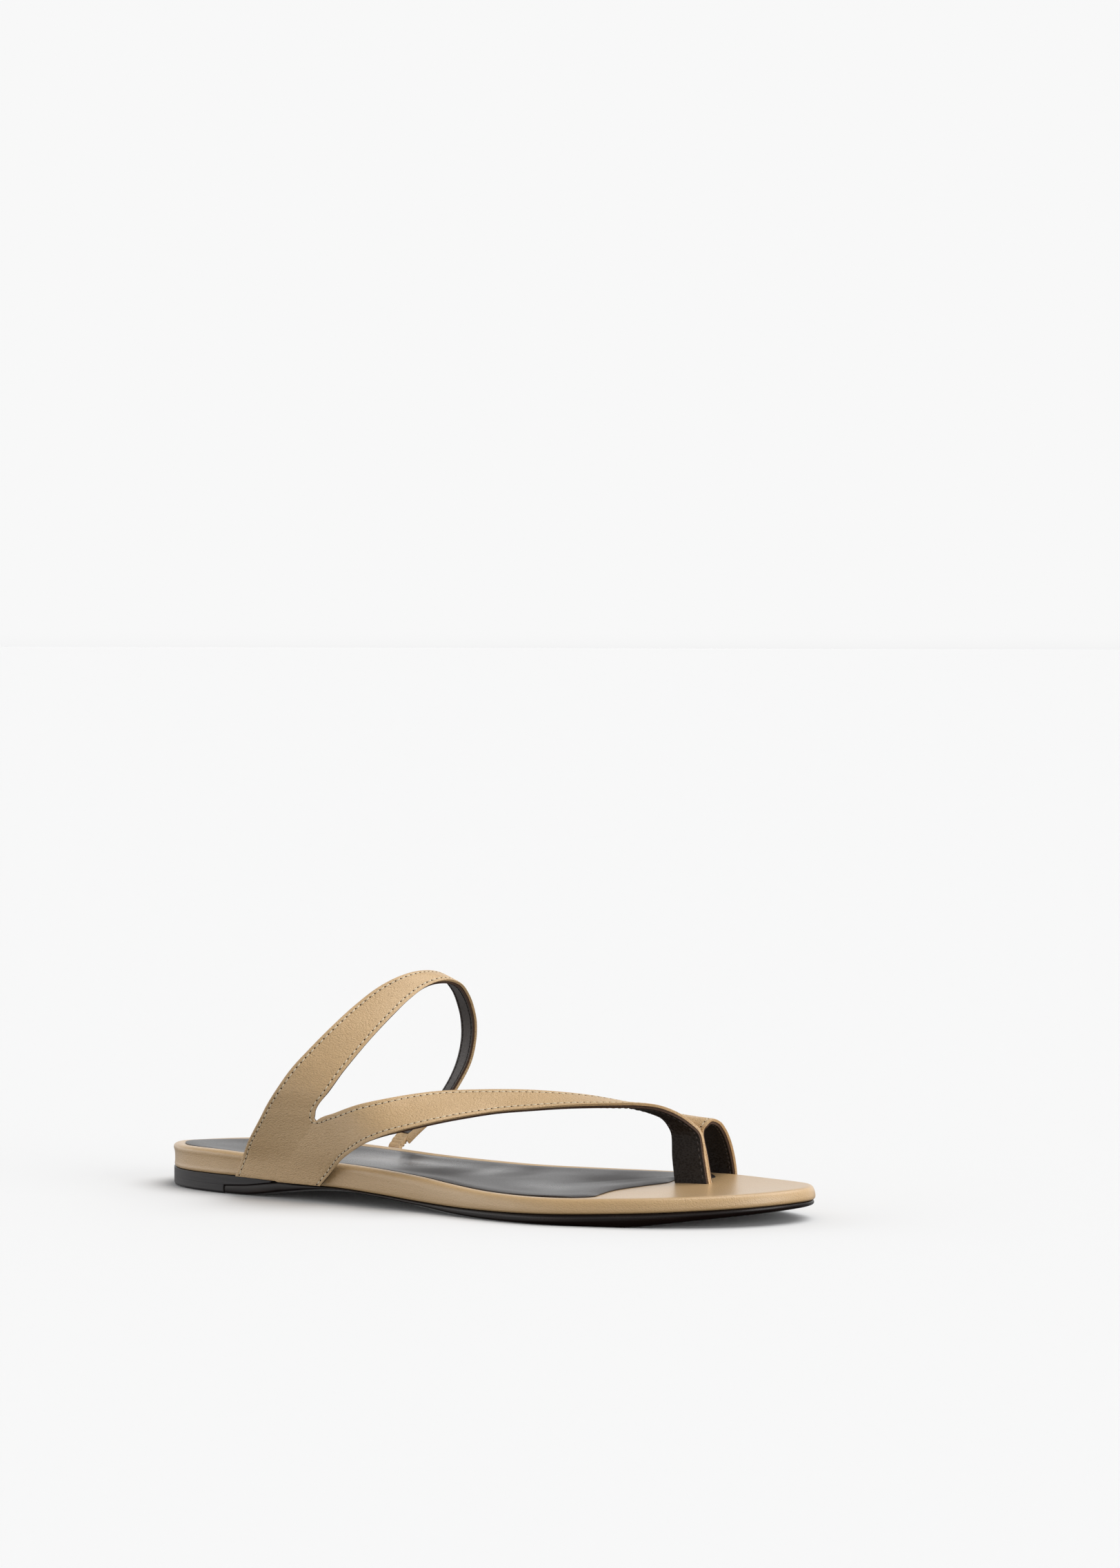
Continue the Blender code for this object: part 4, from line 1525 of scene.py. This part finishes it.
    def below_fork(self, across: Array, along: Array, height: float, inset: float) -> Array:
        """Points of the strip that closes the base below the fork, its upper end rounded.

        Args:
            across: places from the instep strap to the forward strap, 0 to 1.
            along: places from the floor up to the fork, 0 to 1.
            height: distance over the outer face.
            inset: how far the edges are drawn in.

        Returns:
            The points.
        """
        near = along * self.fork_row / self.instep.rows
        far = along * self.fork_row / self.forward.rows
        left = self.instep.lay(np.ones_like(along), near, height, inset)
        right = self.forward.lay(np.zeros_like(along), far, height, inset)
        flat = blend(left, right, across)
        below = (1.0 - along) * (len(BASE) - 1) * self.rung_gap
        sink = self.notch_depth * np.sin(math.pi * across) * bell(below, self.notch_run)
        fall = unit(self.instep.at(self.instep.front_run, near))
        return flat - fall * sink[:, None]

    def shape(self, mold: Mold, seams: Sequence[Array]) -> None:
        """Presses the stitch lines into the leather and swells it between them.

        Args:
            mold: the outer sheet.
            seams: the stitch lines.
        """
        mold.mesh.normal_update()
        verts = list(mold.mesh.verts)
        spots = np.array([v.co for v in verts])
        normals = np.array([v.normal for v in verts])
        rim = np.array([v.co for v in verts if v.is_boundary])
        edge = nearest(spots, rim)
        line = nearest(spots, np.vstack([spread(s[:, :3], self.samples) for s in seams]))
        height = self.crown * np.clip(edge / self.crown_run, 0.0, 1.0)
        height -= self.trough * bell(line, self.trough_width)
        height -= self.edge_drop * np.clip(1.0 - edge / self.edge_run, 0.0, 1.0) ** 2
        for vertex, spot in zip(verts, spots + normals * height[:, None]):
            vertex.co = spot

    def build(self) -> list[bpy.types.Object]:
        """Makes leather and lining."""
        outer = self.sheet(0.0, 0.0)
        self.shape(outer, self.seams())
        leather = outer.finish("strap_leather", [STRAP_LEATHER.material()], "beige_leather", "upper")
        thicken(leather, self.skin, self.skin_edge)
        inner = self.sheet(-self.skin, self.lining_inset)
        finishes = [LINING_LEATHER_PAINTED_LIGHT.material(), RAW_EDGE.material()]
        lining = inner.finish("strap_lining", finishes, "dark_leather")
        thicken(lining, self.lining, self.lining_edge, 2)
        return [leather, lining]


@dataclass
class Stitches:
    """Thread along the seams, outside and on the lining, and dark discs painting the shade in the needle
    holes.
    """

    straps: Straps
    pitch: float = 2.35
    gap: float = 0.5
    thread: float = 0.54
    proud: float = 0.2
    lift: float = 0.05
    bed: float = 0.06
    hole: float = 0.31
    hole_lift: float = 0.02
    hole_height: float = 0.1
    slant: float = 0.10
    facets: tuple[int, int] = (6, 5)
    batch: int = 40

    def row(self, seam: Array) -> Array:
        """Needle places along a seam.

        Args:
            seam: points and normals.

        Returns:
            Points and normals, one pitch apart.
        """
        length = float(np.linalg.norm(np.diff(seam[:, :3], axis=0), axis=1).sum())
        return spread(seam, max(2, round(length / self.pitch) + 1))

    def bead(self, mold: Mold, middle: Array, along: Array, normal: Array,
             size: Point) -> None:
        """Adds one small rounded body.

        Args:
            mold: where it goes.
            middle: its centre.
            along: its long axis.
            normal: the leather's normal there.
            size: half its length, breadth and height.
        """
        x = Vector(along).normalized()
        y = Vector(normal).cross(x).normalized()
        turn = Matrix((x, y, x.cross(y))).transposed().to_4x4()
        shape = Matrix.Translation(Vector(middle)) @ turn @ Matrix.Diagonal((*size, 1.0))
        round_segments, rings = self.facets
        bmesh.ops.create_uvsphere(mold.mesh, u_segments=round_segments, v_segments=rings, radius=1.0,
                                  matrix=shape)

    def sew(self, name: str, offset: float, out: float, finish: Thread, holes: str) -> list[bpy.types.Object]:
        """Sews every seam on one side of the straps.

        Args:
            name: name of the thread piece.
            offset: distance of the leather's face over the outer face.
            out: 1 where the face looks out, -1 on the lining.
            finish: the thread's finish.
            holes: name of the piece with the dark discs that paint the shade in the needle holes.

        Returns:
            The pieces.
        """
        thread, dots = Mold(), Mold()
        for seam in self.straps.seams():
            marks = self.row(seam)
            places = marks[:, :3] + marks[:, 3:] * offset
            for first in range(0, len(marks) - 1, self.batch):
                some_thread, some_dots = Mold(), Mold()
                for i in range(first, min(first + self.batch, len(marks) - 1)):
                    normal = (marks[i, 3:] + marks[i + 1, 3:]) * out / 2
                    step = places[i + 1] - places[i]
                    size = (np.linalg.norm(step) / 2 - self.gap / 2, self.thread / 2, self.proud)
                    self.bead(some_thread, (places[i] + places[i + 1]) / 2 + normal * self.lift,
                              step + np.cross(normal, step) * self.slant, normal, size)
                    # A flat dark disc at each needle hole paints the shade inside it.
                    face = marks[i, 3:] * out
                    self.bead(some_dots, places[i] + face * self.hole_lift, step, face,
                              (self.hole, self.hole, self.hole_height))
                thread.pour(some_thread)
                dots.pour(some_dots)
        return [
            thread.finish(name, [finish.material()], "beige_leather" if out > 0.0 else "dark_leather"),
            dots.finish(holes, [NEEDLE_HOLE_SHADE.material()], "dark_leather"),
        ]

    def build(self) -> list[bpy.types.Object]:
        """Makes all thread."""
        straps = self.straps
        inside = -(straps.skin + straps.lining)
        outer = self.sew("strap_thread", -straps.trough + self.bed, 1.0, CREAM_THREAD, "needle_hole_shadows")
        return outer + self.sew("lining_thread", inside, -1.0, DARK_THREAD, "lining_hole_shadows")


@dataclass
class ElasticTab:
    """Gathered leather over elastic, from the instep strap to the inner side of the sole."""

    wall: float = 1.6
    edge: float = 0.4
    gathers: int = 7
    depth: float = 0.2
    puff: float = 0.3
    sway: tuple[Wave, ...] = (Wave(0.77, 5.0, 11.0), Wave(0.55, 9.0, -23.0))
    ends: Span = (0.06, 0.1)
    along: int = 160
    across: int = 22
    facing_wall: float = 0.9
    facing_edge: float = 0.3
    facing_columns: int = 8

    def facing(self) -> bpy.types.Object:
        """Makes the smooth end of the tab that is sewn to the inside of the strap."""
        ribbon = Ribbon(FACING)
        mold = ribbon.sheet(self.facing_columns, ribbon.rows, ribbon.lay)
        piece = mold.finish("tab_facing", [STRAP_LEATHER.material()], "beige_leather")
        thicken(piece, self.facing_wall, self.facing_edge)
        return piece

    def build(self) -> list[bpy.types.Object]:
        """Makes the gathered tab and its smooth end."""
        ribbon = Ribbon(ELASTIC)
        start, end = self.ends

        def place(across: Array, along: Array) -> Array:
            """Points of the gathered face."""
            sway = sum(w.height * np.sin(across * w.across + along * w.along) for w in self.sway)
            wave = np.sin(2.0 * math.pi * self.gathers * along + sway)
            fade = np.clip(along / start, 0.0, 1.0) * np.clip((1.0 - along) / end, 0.0, 1.0)
            puff = self.puff * (np.sin(math.pi * across) - 1.0)
            return ribbon.lay(across, along, self.depth * fade * wave + puff)

        mold = ribbon.sheet(self.across, self.along, place)
        piece = mold.finish("elastic_gathers", [STRAP_LEATHER.material()], "beige_leather", "elastic_tab")
        thicken(piece, self.wall, self.edge)
        pieces = [piece, self.facing()]
        for part in pieces:
            part.visible_glossy = False
        return pieces


# Studio
class Lamp(NamedTuple):
    """A broad lamp far away: name, strength, and spread and turn in degrees."""

    name: str
    strength: float
    spread: float
    turn: Point


@dataclass
class Studio:
    """Floor, light and camera."""

    azimuth: float = 33.0
    elevation: float = 6.6
    distance: float = 1600.0
    target: Point = (125.0, 0.0, 20.0)
    target_pixel: tuple[float, float] = (680.55, 1660.38)
    frame: tuple[float, float] = (1624.0, 2274.0)
    focal: float = 6480.0
    sensor: float = 36.0
    floor_size: float = 40.0
    floor_drop: float = 0.05
    sky: float = 0.22
    backdrop: float = 0.939
    bounce: float = 0.35
    beneath: float = 0.02
    left: float = 1.05
    fade: tuple[float, float] = (0.15, 0.30)
    panel: float = 0.30
    panel_band: Span = (-0.6, 0.5)
    left_band: Span = (0.5, 0.95)
    horizon: Span = (-0.03, 0.0)
    ground_band: Span = (-0.75, -0.25)
    clip: float = 200.0
    lamps: tuple[Lamp, ...] = (
        Lamp("overhead", 1.93, 58.0, (-18.0, 22.0, 0.0)),
        Lamp("front_right", 1.25, 40.0, (0.0, 78.0, -4.0)),
    )

    def floor(self) -> None:
        """Lays the floor."""
        mesh = bmesh.new()
        bmesh.ops.create_grid(mesh, x_segments=2, y_segments=2, size=self.floor_size)
        bmesh.ops.translate(mesh, vec=(0.0, 0.0, -self.floor_drop * MM), verts=mesh.verts)
        data = bpy.data.meshes.new("floor")
        mesh.to_mesh(data)
        mesh.free()
        data.materials.append(FLOOR_WHITE.material())
        ground = stand("floor", data)
        ground.visible_diffuse = False
        ground.visible_glossy = False

    def light(self) -> None:
        """Hangs broad soft lights in a pale room."""
        for lamp in self.lamps:
            light = bpy.data.lights.new(lamp.name, "SUN")
            light.energy = lamp.strength
            light.angle = math.radians(lamp.spread)
            hung = stand(lamp.name, light)
            hung.rotation_euler = [math.radians(a) for a in lamp.turn]
        bpy.context.scene.world = self.room()
        bpy.context.scene.view_settings.view_transform = "Standard"

    def room(self) -> bpy.types.World:
        """Paints the room: a pale band all round, higher on the far side, over a dimmer ground."""
        shade = Shade(bpy.data.worlds.new("room"))
        way = shade.out(shade.node("ShaderNodeTexCoord"), "Generated")
        turn = math.radians(self.azimuth)
        far, aside = (shade.vector("DOT_PRODUCT", way, side, key="Value") for side in (
            (-math.sin(turn), math.cos(turn), 0.0), (-math.cos(turn), -math.sin(turn), 0.0)))
        up = shade.axis(way, "Z")
        rise = up - shade.ramp(far, *self.panel_band, 0.0, self.panel)
        upper = shade.ramp(rise, *self.fade, self.backdrop, self.sky)
        upper = upper * shade.ramp(aside, *self.left_band, 1.0, 1.0 + self.left)
        lower = shade.ramp(up, *self.horizon, self.bounce / self.backdrop, 1.0)
        lower = lower * shade.ramp(up, *self.ground_band, self.beneath, 1.0)
        inputs = {"Color": (1.0, 1.0, 1.0), "Strength": upper * lower}
        shine = shade.out(shade.node("ShaderNodeBackground", None, inputs))
        shade.node("ShaderNodeOutputWorld", None, {"Surface": shine})
        return shade.owner

    def camera(self) -> None:
        """Sets up the camera of the photograph's angle."""
        turn, rise = math.radians(self.azimuth), math.radians(self.elevation)
        away = np.array([math.sin(turn) * math.cos(rise), -math.cos(turn) * math.cos(rise), math.sin(rise)])
        ray = -away
        right = (self.target_pixel[0] - self.frame[0] / 2) / self.focal
        up = -(self.target_pixel[1] - self.frame[1] / 2) / self.focal
        slant = math.sqrt((1 + right ** 2 + up ** 2) / (1 + up ** 2))
        pitch = math.asin(ray[2] * slant) - math.atan(up)
        yaw = math.atan2(ray[1], ray[0]) + math.atan2(right, math.cos(pitch) - up * math.sin(pitch))
        ahead = Vector((math.cos(pitch) * math.cos(yaw), math.cos(pitch) * math.sin(yaw), math.sin(pitch)))
        aside = Vector((math.sin(yaw), -math.cos(yaw), 0.0))
        lens = bpy.data.cameras.new("camera")
        lens.sensor_width = self.sensor
        lens.lens = self.focal / self.frame[1] * self.sensor
        lens.clip_end = self.clip
        camera = stand("camera", lens)
        place = (np.array(self.target) + away * self.distance - SHIFT) * MM
        axes = Matrix((aside, aside.cross(ahead), -ahead)).transposed().to_4x4()
        camera.matrix_world = Matrix.Translation(Vector(place)) @ axes
        bpy.context.scene.camera = camera

    def build(self) -> None:
        """Sets the stage."""
        self.floor()
        self.light()
        self.camera()


def main() -> None:
    """Builds the looks around the frame."""
    logging.basicConfig(level=logging.INFO, format="%(name)s: %(message)s")
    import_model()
    last = Last()
    Footbed(last).build()
    Sock(last).build()
    Outsole(last).build()
    Heel(last).build()
    straps = Straps()
    straps.build()
    Stitches(straps).build()
    ElasticTab().build()
    Studio().build()


if __name__ == "__main__":
    main()
